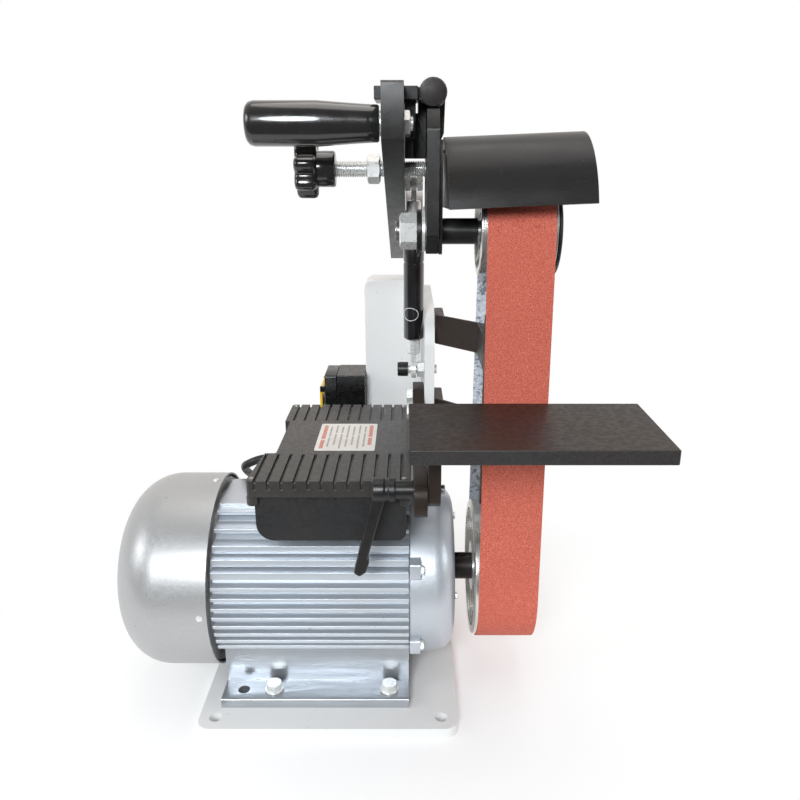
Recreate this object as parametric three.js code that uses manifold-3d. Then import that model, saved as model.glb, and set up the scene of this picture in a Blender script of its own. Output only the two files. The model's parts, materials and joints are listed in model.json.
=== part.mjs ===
import * as THREE from "three";
import { mergeVertices } from "three/addons/utils/BufferGeometryUtils.js";
import Module from "manifold-3d";

// Bench belt grinder with a 50 x 915 mm belt, a foot-mounted motor and a gas-spring tension lever.
// Millimetres. +X is the belt side, -Y faces the operator, +Z is up.
// The origin is the centre of the base plate's underside.

const GAP = 0.3; // between two pieces that touch or run in each other

// Base and upright
const BASE_WIDTH = 218;
const BASE_DEPTH = 320;
const BASE_THICK = 10;
const BASE_CORNER = 12;
const BASE_HOLE_X = 95;
const BASE_HOLE_Y = 146;
const BASE_HOLE_R = 5.3;
const PLATE_X0 = 81.65;
const PLATE_X1 = 90.65;
const PLATE_FRONT = -19;
const PLATE_REAR = 141;
const PLATE_TOP = 330;
const COLUMN_X0 = 22.35;
const COLUMN_X1 = 80.35;
const COLUMN_FRONT = 101;
const COLUMN_TOP = 340;
const COLUMN_WALL = 3;

// Motor, on its own axis along X
const MOTOR_Y = -52;
const MOTOR_Z = 100;
const FRAME_X0 = -95.65;
const FRAME_X1 = 67.75;
const FRAME_R = 72;
const FIN_R = 80;
// Rows of fins up the frame's sides: fine ones, broad ribs and two near the top
const FIN_ROWS = [
  { lowest: -39.4, pitch: 8.65, thick: 3.4, count: 8 },
  { lowest: 31.2, pitch: 9, thick: 6.8, count: 3 },
  { lowest: 60.5, pitch: 9.6, thick: 4.2, count: 2 },
];
const FRAME_BORE = 66;
const SHAFT_R = 12;
const STATOR_R = 65.7;
const STATOR_BORE = 40;
const COWL_R = 85.5;
const COWL_X0 = -183;
const COWL_X1 = -97.65;
const COWL_KNEE = -141;
const COWL_FLAT = 40;
const SHIELD_R = 75;
const SHIELD_X1 = 107.65;
const LUG_REACH = 75;
const LUG_LOW = 29;
const LUG_TOP = 43;
const LUG_LONG = 9.5;
const FOOT_X0 = -92.65;
const FOOT_X1 = 67.75;
const FOOT_THICK = 8.4;
const FOOT_HALF = 82.6;
const FOOT_WALL_Y = 57;
const FOOT_HOLE_Y = 70;
const FOOT_BOLT_X = [-49, 50.7];
const FOOT_SPARE_X = -75.35;

// Terminal box over the motor
const LID_X0 = -56.85; // at the front; the lid's left side steps in towards the rear
const LID_BAND_X0 = -42.5;
const LID_REAR_X0 = -47.4;
const LID_X1 = 69.35;
const LID_Y0 = -145;
const LID_Y1 = 42;
const LID_Z0 = 212;
const LID_Z1 = 225.8;
const BOX_BOTTOM = 172;
const BOX_INSET = 5.2;
const BOX_REAR_X0 = -46.5;
const LID_GROOVES = 12;
const LID_BAND_Y0 = -88;
const LID_BAND_Y1 = -8;

// Wheels and belt
const DRIVE_R = 60.5;
const DRIVE_X0 = 123.65;
const DRIVE_X1 = 177;
const IDLER_R = 33.5;
const IDLER_Y = -79.2;
const IDLER_Z = 405;
const IDLER_X0 = 120.35;
const IDLER_X1 = 179.6;
const AXLE_R = 8;
const BELT_X0 = 125.55;
const BELT_WIDTH = 50;
const BELT_THICK = 1;
const BELT_RUN_OFF = -0.0072; // sideways drift of the belt per millimetre up
const BELT_SQUARE_Z = 294; // where the belt sits at BELT_X0

// Platen behind the front run
const PLATEN_X0 = 125.2;
const PLATEN_X1 = 175.2;
const PLATEN_Y0 = -112.5;
const PLATEN_Y1 = -104;
const PLATEN_Z0 = 190;
const PLATEN_Z1 = 345;
const BRACKET_TALL = 26;
const BRACKET_THICK = 8;
const BRACKET_UPPER_Z = 301;
const BRACKET_LOWER_Z = 224;

// Work table, on its tilt axis along X
const TABLE_AXIS_Y = -157;
const TABLE_AXIS_Z = 224;
const TABLE_X0 = 67.35;
const TABLE_X1 = 244.4;
const TABLE_Y0 = -215.3;
const TABLE_Y1 = -116;
const TABLE_Z0 = 267.6;
const TABLE_Z1 = 278.1;
const ARM_X0 = 71.35;
const ARM_X1 = 81.35;
const TABLE_BOLT_Y = -4;
const TABLE_BOLT_Z = [234, 249.6];

// Tension lever and what it carries
const LEVER_X0 = 49.35;
const LEVER_X1 = 64.35;
const PIVOT_Y = 101;
const PIVOT_Z = 403.5;
const PIVOT_R = 6;
const HANDLE_Y = -109;
const HANDLE_Z = 481.3;
const HANDLE_X0 = -46;
const HANDLE_X1 = 46.85;
const HINGE_X = 84.75;
const HINGE_Z = 502.6;
const HINGE_R = 10;
const HINGE_PIN_R = 5;
const HINGE_SPLIT_Y = -74; // front of the tracking head's half of the hinge
const TRACK_X0 = 80.35;
const TRACK_X1 = 89.35;
const TRACK_STRAP_X0 = 74.4;
const SCREW_Y = -69;
const SCREW_Z = 450.5;
const SCREW_R = 6;
const KNOB_X0 = -18;
const KNOB_LOBES = 7;

// Guard over the top wheel
const GUARD_Y = -72;
const GUARD_Z = 414;
const GUARD_R = 59.5;
const GUARD_SHEET = 2.5;
const GUARD_X0 = 96.2;
const GUARD_X1 = 200.1;
const GUARD_LEAN = -2.35; // degrees about Y, outer end up

// Gas spring between the side plate and the lever
const SPRING_X = 71.95;
const SPRING_LOW = [-8, 276];
const SPRING_HIGH = [-14, 439];
const TUBE_R = 9;
const ROD_R = 4;

// Switch on the left of the column
const SWITCH_X0 = -19.65;
const SWITCH_X1 = 22.05;
const SWITCH_Y0 = 81;
const SWITCH_Y1 = 125;
const SWITCH_Z0 = 184;
const SWITCH_Z1 = 244.5;
const SWITCH_SEAM = -7.5;
const FLAP_AXIS_X = -22.6;
const FLAP_AXIS_Z = 229;
const BUTTON_Z = 206;
const BUTTON_Y = [95, 111];

const wasm = await Module();
wasm.setup();

const finish = (color, roughness, metalness) =>
  new THREE.MeshStandardMaterial({ color, roughness, metalness });

const WHITE_PAINT = finish(0xe4e2e0, 0.45, 0.0);
const SILVER_PAINT = finish(0xbebcb9, 0.4, 0.35);
const ALUMINIUM = finish(0xcdd0d2, 0.32, 0.9);
const STEEL = finish(0x8d9094, 0.35, 0.9);
const DARK_STEEL = finish(0x46413d, 0.5, 0.75);
const ZINC = finish(0xc4c6c2, 0.35, 0.85);
const BLACK_PAINT = finish(0x2b2b2c, 0.4, 0.3);
const GLOSS_BLACK = finish(0x121214, 0.18, 0.05);
const GUARD_PAINT = finish(0x3c3834, 0.35, 0.4);
const BOX_PLASTIC = finish(0x3f3b38, 0.55, 0.0);
const RUBBER = finish(0x18181a, 0.6, 0.0);
const ABRASIVE = finish(0xc35a45, 0.85, 0.0);
const COPPER_CORE = finish(0x8a6b4e, 0.5, 0.6);
const YELLOW = finish(0xf0c419, 0.4, 0.0);
const GREEN = finish(0x2b8a4b, 0.4, 0.0);
const RED = finish(0xc2281f, 0.4, 0.0);

// ---------- shared geometry helpers ----------

const FACING = {
  x: new THREE.Matrix4().makeBasis(
    new THREE.Vector3(0, 1, 0),
    new THREE.Vector3(0, 0, 1),
    new THREE.Vector3(1, 0, 0),
  ),
  y: new THREE.Matrix4().makeBasis(
    new THREE.Vector3(1, 0, 0),
    new THREE.Vector3(0, 0, 1),
    new THREE.Vector3(0, -1, 0),
  ),
  z: new THREE.Matrix4(),
};

// Outline points [a, b] or [a, b, corner radius], with the corners rounded.
function rounded(outline, steps = 3) {
  const out = [];
  outline.forEach(([a, b, r], i) => {
    const corner = new THREE.Vector2(a, b);
    if (!r) {
      out.push(corner);
      return;
    }
    const [pa, pb] = outline[(i + outline.length - 1) % outline.length];
    const [na, nb] = outline[(i + 1) % outline.length];
    const back = new THREE.Vector2(pa - a, pb - b).normalize();
    const ahead = new THREE.Vector2(na - a, nb - b).normalize();
    const half = Math.acos(THREE.MathUtils.clamp(back.dot(ahead), -1, 1)) / 2;
    const run = r / Math.tan(half);
    const centre = back.clone().add(ahead).normalize();
    centre.multiplyScalar(r / Math.sin(half)).add(corner);
    const from = back.multiplyScalar(run).add(corner).sub(centre).angle();
    const to = ahead.multiplyScalar(run).add(corner).sub(centre).angle();
    let turn = to - from;
    if (turn > Math.PI) turn -= 2 * Math.PI;
    if (turn < -Math.PI) turn += 2 * Math.PI;
    for (let k = 0; k <= steps; k++) {
      const at = from + (turn * k) / steps;
      const x = centre.x + r * Math.cos(at);
      const y = centre.y + r * Math.sin(at);
      out.push(new THREE.Vector2(x, y));
    }
  });
  return out;
}

// A flat plate square to an axis: x plates take [y, z], y plates [x, z], z plates [x, y].
function slab(axis, outline, from, to, holes = []) {
  const shape = new THREE.Shape(rounded(outline));
  for (const [a, b, r] of holes) {
    const hole = new THREE.Path();
    hole.absarc(a, b, r, 0, 2 * Math.PI, true);
    shape.holes.push(hole);
  }
  const options = { depth: to - from, bevelEnabled: false, curveSegments: 6 };
  const g = new THREE.ExtrudeGeometry(shape, options);
  g.translate(0, 0, axis === "y" ? -to : from);
  return g.applyMatrix4(FACING[axis]);
}

function box(x0, x1, y0, y1, z0, z1) {
  const g = new THREE.BoxGeometry(x1 - x0, y1 - y0, z1 - z0);
  return g.translate((x0 + x1) / 2, (y0 + y1) / 2, (z0 + z1) / 2);
}

// A round bar along an axis; a and b are its place on the other two axes, in order.
function rod(axis, r, from, to, a = 0, b = 0, segments = 14) {
  const g = new THREE.CylinderGeometry(r, r, to - from, segments);
  const mid = (from + to) / 2;
  if (axis === "x") return g.rotateZ(-Math.PI / 2).translate(mid, a, b);
  if (axis === "y") return g.translate(a, mid, b);
  return g.rotateX(Math.PI / 2).translate(a, b, mid);
}

const hex = (axis, flats, from, to, a, b) =>
  rod(axis, flats / Math.sqrt(3), from, to, a, b, 6);

// A turned piece about X from [radius, x] pairs.
function turned(profile, segments = 24) {
  const points = profile.map(([r, x]) => new THREE.Vector2(r, x));
  if (profile[0][0] > 0) points.push(points[0].clone());
  if (THREE.ShapeUtils.area(points) < 0) points.reverse();
  return new THREE.LatheGeometry(points, segments).rotateZ(-Math.PI / 2);
}

function solid(geometry) {
  const g = geometry.clone();
  g.deleteAttribute("normal");
  g.deleteAttribute("uv");
  const merged = mergeVertices(g, 1e-4);
  const triVerts = new Uint32Array(merged.index.array);
  const vertProperties = new Float32Array(merged.attributes.position.array);
  return new wasm.Manifold(
    new wasm.Mesh({ numProp: 3, vertProperties, triVerts }),
  );
}

function surface(body) {
  const mesh = body.getMesh();
  const g = new THREE.BufferGeometry();
  g.setAttribute("position", new THREE.BufferAttribute(mesh.vertProperties, 3));
  g.setIndex(new THREE.BufferAttribute(mesh.triVerts, 1));
  g.computeVertexNormals();
  return g;
}

const join = (...pieces) => surface(pieces.map(solid).reduce((a, b) => a.add(b)));
const cut = (from, ...tools) =>
  surface(tools.map(solid).reduce((a, b) => a.subtract(b), solid(from)));
const within = (a, b) => surface(solid(a).intersect(solid(b)));

function part(name, geometry, material) {
  const mesh = new THREE.Mesh(geometry, material.clone());
  mesh.name = name;
  return mesh;
}

function group(name, at, ...members) {
  const g = new THREE.Group();
  g.name = name;
  g.position.set(...at);
  g.add(...members);
  return g;
}

// ---------- base and upright ----------

function basePlate() {
  const x = BASE_WIDTH / 2;
  const y = BASE_DEPTH / 2;
  const r = BASE_CORNER;
  const outline = [[-x, -y, r], [x, -y, r], [x, y, r], [-x, y, r]];
  const holes = [];
  for (const sx of [-1, 1])
    for (const sy of [-1, 1])
      holes.push([sx * BASE_HOLE_X, sy * BASE_HOLE_Y, BASE_HOLE_R]);
  for (const bx of FOOT_BOLT_X)
    for (const side of [-1, 1])
      holes.push([bx, MOTOR_Y + side * FOOT_HOLE_Y, 4 + GAP]);
  return part("base_plate", slab("z", outline, 0, BASE_THICK, holes), WHITE_PAINT);
}

function sidePlate() {
  const foot = BASE_THICK + GAP;
  const outline = [
    [28, foot],
    [PLATE_REAR, foot],
    [PLATE_REAR, PLATE_TOP, 6],
    [PLATE_FRONT, PLATE_TOP, 32],
    [PLATE_FRONT, 185, 4],
    [28, 110],
  ];
  const holes = TABLE_BOLT_Z.map((z) => [TABLE_BOLT_Y, z, 4 + GAP]);
  holes.push([...SPRING_LOW, 4 + GAP]);
  const plate = slab("x", outline, PLATE_X0, PLATE_X1, holes);
  const motorRoom = rod("x", 80, PLATE_X0 - 5, PLATE_X1 + 5, MOTOR_Y, MOTOR_Z, 64);
  return part("side_plate", cut(plate, motorRoom), WHITE_PAINT);
}

function rearColumn() {
  const outline = [
    [COLUMN_X0, BASE_THICK + GAP],
    [COLUMN_X1, BASE_THICK + GAP],
    [COLUMN_X1, COLUMN_TOP, 2],
    [COLUMN_X0, COLUMN_TOP, 8],
  ];
  const w = COLUMN_WALL;
  const inside = box(
    COLUMN_X0 + w,
    COLUMN_X1 - w,
    COLUMN_FRONT + w,
    PLATE_REAR - w,
    0,
    COLUMN_TOP - 2 * w,
  );
  const bar = slab("y", outline, COLUMN_FRONT, PLATE_REAR);
  return part("rear_column", cut(bar, inside), WHITE_PAINT);
}

function pivotEar() {
  const top = PIVOT_Z + 24.5;
  const outline = [
    [82, 300, 3],
    [COLUMN_FRONT - GAP, 300],
    [COLUMN_FRONT - GAP, COLUMN_TOP + GAP],
    [131, COLUMN_TOP + GAP],
    [122, top, 12],
    [82, top, 12],
  ];
  const holes = [[PIVOT_Y, PIVOT_Z, PIVOT_R + GAP]];
  const ear = slab("x", outline, LEVER_X1 + 2 * GAP, PLATE_X0 - GAP, holes);
  return part("pivot_ear", ear, WHITE_PAINT);
}

// ---------- motor ----------

function motorFrame() {
  const core = rod("x", FRAME_R, FRAME_X0, FRAME_X1, 0, 0, 64);
  const envelope = rod("x", FIN_R, FRAME_X0, FRAME_X1, 0, 0, 72);
  const pieces = [core, box(FRAME_X0, FRAME_X1, -26, 26, FRAME_R - 4, FIN_R - 1)];
  for (const { lowest, pitch, thick, count } of FIN_ROWS)
    for (let i = 0; i < count; i++) {
      const z = lowest + i * pitch - thick / 2;
      pieces.push(box(FRAME_X0, FRAME_X1, -FIN_R, FIN_R, z, z + thick));
    }
  const finned = within(join(...pieces), envelope);
  const bore = rod("x", FRAME_BORE, FRAME_X0 - 1, FRAME_X1 + 1, 0, 0, 64);
  return part("motor_frame", cut(finned, bore), SILVER_PAINT);
}

function motorFoot(name, side) {
  const floor = BASE_THICK + GAP - MOTOR_Z;
  const top = floor + FOOT_THICK;
  const outline = [
    [side * FOOT_HALF, floor],
    [side * FOOT_HALF, top, 1.5],
    [side * FOOT_WALL_Y, top],
    [side * FOOT_WALL_Y, -45.2],
    [side * (FOOT_WALL_Y - 6), -45.2],
    [side * (FOOT_WALL_Y - 6), floor],
  ];
  const foot = slab("x", side < 0 ? outline.reverse() : outline, FOOT_X0, FOOT_X1);
  const tools = [rod("x", FRAME_R + GAP, FOOT_X0 - 1, FOOT_X1 + 1, 0, 0, 64)];
  for (const x of [FOOT_SPARE_X, ...FOOT_BOLT_X])
    tools.push(rod("z", x === FOOT_SPARE_X ? 5 : 4.4, floor - 1, top + 1, x, side * FOOT_HOLE_Y));
  return part(name, cut(foot, ...tools), ALUMINIUM);
}

function footBolt(name, x, side) {
  const seat = BASE_THICK + 2 * GAP + FOOT_THICK - MOTOR_Z;
  const y = side * FOOT_HOLE_Y;
  const shank = rod("z", 4, 0.6 - MOTOR_Z, seat + 1, x, y, 12);
  const washer = rod("z", 8, seat, seat + 1.6, x, y, 16);
  const head = hex("z", 13, seat + 1.5, seat + 6.9, x, y);
  return part(name, join(shank, washer, head), ZINC);
}

function statorCore() {
  const r = STATOR_R;
  const bore = STATOR_BORE;
  return part("stator_core", turned([[r, -60], [r, 40], [bore, 40], [bore, -60]]), COPPER_CORE);
}

function rotorCore() {
  const r = STATOR_BORE - 0.6;
  const bore = SHAFT_R + GAP;
  return part("rotor_core", turned([[r, -58], [r, 38], [bore, 38], [bore, -58]]), STEEL);
}

function motorShaft() {
  const tip = DRIVE_X1 - 6;
  const profile = [
    [0, -150],
    [SHAFT_R, -150],
    [SHAFT_R, tip],
    [4.4, tip],
    [4.4, tip - 26],
    [0, tip - 26],
  ];
  const key = box(DRIVE_X0 + 4, tip - 4, -4, 4, SHAFT_R - 3, SHAFT_R + 3);
  return part("motor_shaft", join(turned(profile, 20), key), STEEL);
}

function driveEndshield() {
  const x0 = FRAME_X1 + GAP;
  const r = SHIELD_R;
  const outer = [[r, x0], [r, 89]];
  for (let i = 1; i <= 3; i++) {
    const a = (i * Math.PI) / 6;
    outer.push([r - 18 + 18 * Math.cos(a), 89 + 18 * Math.sin(a)]);
  }
  const bore = SHAFT_R + GAP;
  const inner = [
    [32, 107],
    [32, SHIELD_X1],
    [bore, SHIELD_X1],
    [bore, 84],
    [26, 84],
    [26, 101],
    [r - 18, 101],
    [r - 6, 89],
    [r - 6, x0],
  ];
  const cup = turned([...outer, ...inner], 32);
  const lugs = [];
  for (const [y0, y1] of [[-LUG_REACH, -57], [57, LUG_REACH]])
    for (const [z0, z1] of [[-LUG_TOP, -LUG_LOW], [LUG_LOW, LUG_TOP]])
      lugs.push(box(x0, x0 + LUG_LONG, y0, y1, z0, z1));
  const clear = rod("x", r - 6, x0 - 1, x0 + LUG_LONG + 1, 0, 0, 48);
  const shield = join(cup, ...lugs.map((lug) => cut(lug, clear)));
  return part("drive_endshield", shield, SILVER_PAINT);
}

function fanEndshield() {
  const bore = SHAFT_R + GAP;
  const rim = COWL_R - 2 - 3 * GAP;
  const profile = [
    [bore, -108],
    [rim, -108],
    [rim, -99],
    [FRAME_R, -99],
    [FRAME_R, FRAME_X0 - GAP],
    [26, FRAME_X0 - GAP],
    [26, -84],
    [bore, -84],
  ];
  return part("fan_endshield", turned(profile, 28), SILVER_PAINT);
}

function coolingFan() {
  const bore = SHAFT_R + GAP;
  const profile = [[bore, -146], [19, -146], [19, -116], [66, -114], [66, -112], [bore, -112]];
  const hub = turned(profile, 32);
  const blades = [];
  for (let i = 0; i < 6; i++) {
    const blade = box(-140, -112.5, -1.2, 1.2, 17, 65);
    blades.push(blade.rotateX((i * Math.PI) / 3));
  }
  return part("cooling_fan", join(hub, ...blades), RUBBER);
}

function cowlProfile(offset) {
  const points = [[COWL_R - offset, COWL_X1], [COWL_R - offset, COWL_KNEE]];
  const reach = COWL_KNEE - COWL_X0 - offset;
  for (let i = 1; i <= 6; i++) {
    const a = (i * Math.PI) / 12;
    const r = COWL_FLAT + (COWL_R - COWL_FLAT - offset) * Math.cos(a);
    points.push([r, COWL_KNEE - reach * Math.sin(a)]);
  }
  return points;
}

function fanCowl() {
  const outer = cowlProfile(0);
  const inner = cowlProfile(2);
  const tip = outer[outer.length - 1][1];
  const skin = turned([...outer, [0, tip], [0, tip + 2], ...inner.reverse()], 32);
  const slots = [];
  for (let i = 0; i < 12; i++) {
    const slot = box(COWL_X0 - 5, COWL_X0 + 14, -2.6, 2.6, 14, COWL_FLAT - 4);
    slots.push(slot.rotateX((i * Math.PI) / 6));
  }
  return part("fan_cowl", cut(skin, ...slots), SILVER_PAINT);
}

function driveWheel() {
  const r = DRIVE_R;
  const x0 = DRIVE_X0;
  const x1 = DRIVE_X1;
  const bore = SHAFT_R + GAP;
  const profile = [
    [bore, x0 + 1],
    [22, x0 + 1],
    [22, x0 + 13],
    [52.5, x0 + 13],
    [52.5, x0],
    [r, x0],
    [r, x1],
    [52.5, x1],
    [52.5, x1 - 14],
    [22, x1 - 14],
    [22, x1 - 4],
    [bore, x1 - 4],
  ];
  const keyway = box(x0, x1, -4 - GAP, 4 + GAP, 0, SHAFT_R + 3 + GAP);
  return part("drive_wheel", cut(turned(profile, 40), keyway), ALUMINIUM);
}

function wheelBolt() {
  const seat = DRIVE_X1 - 4 + GAP;
  const shank = rod("x", 4, DRIVE_X1 - 30, seat + 1, 0, 0, 16);
  const washer = rod("x", 15, seat, seat + 2.5, 0, 0, 32);
  const head = hex("x", 13, seat + 2.4, seat + 7.9, 0, 0);
  return part("wheel_bolt", join(shank, washer, head), ZINC);
}

function motor() {
  const spin = group("motor_rotor", [0, 0, 0], motorShaft(), rotorCore(), coolingFan());
  spin.add(driveWheel(), wheelBolt());
  const bolts = [];
  for (const side of [-1, 1])
    FOOT_BOLT_X.forEach((x, i) => {
      const row = side < 0 ? "front" : "rear";
      bolts.push(footBolt(`foot_bolt_${row}_${i + 1}`, x, side));
    });
  return group(
    "motor",
    [0, MOTOR_Y, MOTOR_Z],
    motorFrame(),
    statorCore(),
    driveEndshield(),
    fanEndshield(),
    fanCowl(),
    motorFoot("motor_foot_front", -1),
    motorFoot("motor_foot_rear", 1),
    ...bolts,
    spin,
  );
}

// ---------- terminal box ----------

function terminalBox() {
  const x0 = LID_X0 + BOX_INSET;
  const x1 = LID_X1 - BOX_INSET + 1.5;
  const y0 = LID_Y0 + 6;
  const y1 = LID_Y1 - 6;
  const z1 = LID_Z0 - GAP;
  const front = [[x0, z1], [x1, z1], [x1, BOX_BOTTOM, 6], [x0, BOX_BOTTOM, 14]];
  const shell = slab("y", front.reverse(), y0, y1);
  const step = box(x0 - 1, BOX_REAR_X0, LID_BAND_Y0, y1 + 1, BOX_BOTTOM - 1, z1 + 1);
  const inside = box(BOX_REAR_X0 + 3, x1 - 3, y0 + 3, y1 - 3, 185, z1 + 1);
  const saddle = rod("x", FIN_R + 1.2, x0 - 1, x1 + 1, MOTOR_Y, MOTOR_Z, 72);
  const entry = rod("x", 4.1, BOX_REAR_X0 - 1, BOX_REAR_X0 + 4, -27, 197);
  return part("terminal_box", cut(shell, step, inside, saddle, entry), BOX_PLASTIC);
}

function terminalLid() {
  const outline = [
    [LID_X0, LID_Y0, 3],
    [LID_X1, LID_Y0, 3],
    [LID_X1, LID_Y1, 3],
    [LID_REAR_X0, LID_Y1, 3],
    [LID_REAR_X0, LID_BAND_Y1],
    [LID_BAND_X0, LID_BAND_Y1],
    [LID_BAND_X0, LID_BAND_Y0],
    [LID_X0 + 5, LID_BAND_Y0],
  ];
  const tools = [];
  const pitch = (LID_X1 - LID_X0 - 14) / (LID_GROOVES - 1);
  for (let i = 0; i < LID_GROOVES; i++) {
    const x = LID_X0 + 7 + i * pitch;
    for (const [y0, y1] of [[LID_Y0 - 1, LID_BAND_Y0 - 2], [LID_BAND_Y1 + 2, LID_Y1 + 1]])
      if (y0 < LID_BAND_Y0 || x > LID_REAR_X0 + 3)
        tools.push(box(x - 1.1, x + 1.1, y0, y1, LID_Z1 - 2.4, LID_Z1 + 1));
  }
  tools.push(box(LID_BAND_X0 + 4, LID_X1 - 4, LID_Y0 + 8, LID_Y1 - 8, LID_Z0 - 1, LID_Z1 - 5));
  return part("terminal_lid", cut(slab("z", outline, LID_Z0, LID_Z1), ...tools), BOX_PLASTIC);
}

function capacitor() {
  return part("start_capacitor", rod("x", 12, -30, 42, -60, 198.2, 28), ALUMINIUM);
}

function motorCable() {
  const path = new THREE.CatmullRomCurve3([
    new THREE.Vector3(BOX_REAR_X0 + 4.5, -27, 197),
    new THREE.Vector3(-66, -27, 196),
    new THREE.Vector3(-80, -24, 190),
    new THREE.Vector3(-88, -6, 178),
    new THREE.Vector3(-84, 30, 152),
    new THREE.Vector3(-62, 66, 130),
    new THREE.Vector3(-26, 92, 128),
    new THREE.Vector3(-1, 102, 144),
    new THREE.Vector3(5, 103, SWITCH_Z0 - 9),
  ]);
  const shape = new THREE.Shape();
  shape.absarc(0, 0, 3.7, 0, 2 * Math.PI);
  const options = { steps: 32, extrudePath: path, curveSegments: 4 };
  return part("motor_cable", new THREE.ExtrudeGeometry(shape, options), RUBBER);
}

// ---------- wheels, belt and platen ----------

// The belt's line around both wheels, a set distance off their rims.
function beltLoop(off) {
  const low = new THREE.Vector2(MOTOR_Y, MOTOR_Z);
  const high = new THREE.Vector2(IDLER_Y, IDLER_Z);
  const along = high.clone().sub(low);
  const lean = along.angle();
  const open = Math.acos((DRIVE_R - IDLER_R) / along.length());
  const points = [];
  const arc = (centre, r, from, to, steps) => {
    for (let i = 0; i <= steps; i++) {
      const a = from + ((to - from) * i) / steps;
      points.push([centre.x + r * Math.cos(a), centre.y + r * Math.sin(a)]);
    }
  };
  arc(high, IDLER_R + off, lean - open, lean + open, 28);
  arc(low, DRIVE_R + off, lean + open, lean + 2 * Math.PI - open, 36);
  return points;
}

function abrasiveBelt() {
  const outer = slab("x", beltLoop(GAP + BELT_THICK), BELT_X0, BELT_X0 + BELT_WIDTH);
  const inner = slab("x", beltLoop(GAP), BELT_X0 - 1, BELT_X0 + BELT_WIDTH + 1);
  const loop = cut(outer, inner);
  const drift = new THREE.Matrix4().makeShear(0, 0, 0, 0, BELT_RUN_OFF, 0);
  loop.applyMatrix4(drift).translate(-BELT_RUN_OFF * BELT_SQUARE_Z, 0, 0);
  return part("abrasive_belt", loop, ABRASIVE);
}

function platen() {
  const outline = [
    [PLATEN_Y0, PLATEN_Z0 + 3],
    [PLATEN_Y0 + 1.5, PLATEN_Z0],
    [PLATEN_Y1, PLATEN_Z0],
    [PLATEN_Y1, PLATEN_Z1],
    [PLATEN_Y0 + 1.5, PLATEN_Z1],
    [PLATEN_Y0, PLATEN_Z1 - 3],
  ];
  return part("platen", slab("x", outline, PLATEN_X0, PLATEN_X1), DARK_STEEL);
}

function platenBracket(name, z) {
  const t = BRACKET_THICK;
  const inner = PLATE_X1 + GAP;
  const outline = [
    [inner, 21, 1.5],
    [inner, -14],
    [125, -48.4],
    [125, PLATEN_Y1 + GAP],
    [125 + t, PLATEN_Y1 + GAP],
    [125 + t, -51.7],
    [inner + t, -17.3],
    [inner + t, 21, 1.5],
  ];
  const strap = slab("z", outline, z, z + BRACKET_TALL);
  return part(name, strap, DARK_STEEL);
}

// ---------- work table ----------

function tableArm() {
  const outline = [
    [-175, 207, 9],
    [-10, 203.5],
    [12, 214],
    [12, 259, 4],
    [-16, 259, 4],
    [-34, 241.5],
    [-150, 233],
    [-175, 233, 9],
  ];
  const holes = TABLE_BOLT_Z.map((z) => [TABLE_BOLT_Y, z, 4 + GAP]);
  holes.push([TABLE_AXIS_Y, TABLE_AXIS_Z, 4 + GAP]);
  return part("table_arm", slab("x", outline, ARM_X0, ARM_X1, holes), DARK_STEEL);
}

function tableArmBolt(name, z) {
  const shank = rod("x", 4, ARM_X0 - 1, PLATE_X1 - 1, TABLE_BOLT_Y, z, 16);
  const head = hex("x", 13, ARM_X0 - GAP - 5.3, ARM_X0 - GAP, TABLE_BOLT_Y, z);
  return part(name, join(shank, head), ZINC);
}

function tableBracket() {
  const outline = [
    [TABLE_AXIS_Y - 12, TABLE_AXIS_Z - 12, 11.5],
    [TABLE_AXIS_Y + 12, TABLE_AXIS_Z - 12, 11.5],
    [TABLE_AXIS_Y + 26, TABLE_Z0 - GAP],
    [TABLE_AXIS_Y - 12, TABLE_Z0 - GAP],
  ];
  const holes = [[TABLE_AXIS_Y, TABLE_AXIS_Z, 4 + GAP]];
  return part("table_bracket", slab("x", outline, PLATE_X0, 91.05, holes), DARK_STEEL);
}

function workTable() {
  const outline = [
    [TABLE_X0, TABLE_Y0, 1.5],
    [TABLE_X1, TABLE_Y0, 1.5],
    [TABLE_X1, TABLE_Y1, 1.5],
    [TABLE_X0, TABLE_Y1, 1.5],
  ];
  return part("work_table", slab("z", outline, TABLE_Z0, TABLE_Z1), DARK_STEEL);
}

function clampLever() {
  const y = TABLE_AXIS_Y;
  const z = TABLE_AXIS_Z;
  const hub = rod("x", 9.2, 40, 57.5, y, z, 20);
  const collar = rod("x", 7, 57, ARM_X0 - GAP, y, z, 20);
  const stud = rod("x", 4, 65, 94.35, y, z, 16);
  const outline = [
    [25.4, 156, 2],
    [29.9, 152.7, 2],
    [34.9, 156.5, 2],
    [37.5, 165, 2],
    [51, 220],
    [51, 228],
    [41, 228],
    [40.2, 219],
  ];
  const blade = slab("y", outline, y - 5, y + 5);
  return part("clamp_lever", join(hub, collar, stud, blade), BLACK_PAINT);
}

// ---------- tension lever ----------

function leverArm() {
  const notch = HINGE_Z - 5.9;
  const outline = [
    [-149, 469, 2],
    [118, 359, 3],
    [118, 424, 3],
    [-44, 506, 6],
    [-68.7, 506],
    [-68.7, notch],
    [-109.3, notch],
    [-109.3, 506],
    [-149, 506, 2],
  ];
  const holes = [
    [PIVOT_Y, PIVOT_Z, PIVOT_R + GAP],
    [HANDLE_Y, HANDLE_Z, 5 + GAP],
    [SCREW_Y, SCREW_Z, SCREW_R + GAP],
    [...SPRING_HIGH, 4 + GAP],
  ];
  return part("lever_arm", slab("x", outline, LEVER_X0, LEVER_X1, holes), BLACK_PAINT);
}

function leverPivotBolt() {
  const y = PIVOT_Y;
  const z = PIVOT_Z;
  const shank = rod("x", PIVOT_R, LEVER_X0, 93, y, z, 24);
  const nut = hex("x", 19, PLATE_X0 + GAP, PLATE_X0 + 10, y, z);
  return part("lever_pivot_bolt", join(shank, nut), ZINC);
}

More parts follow.
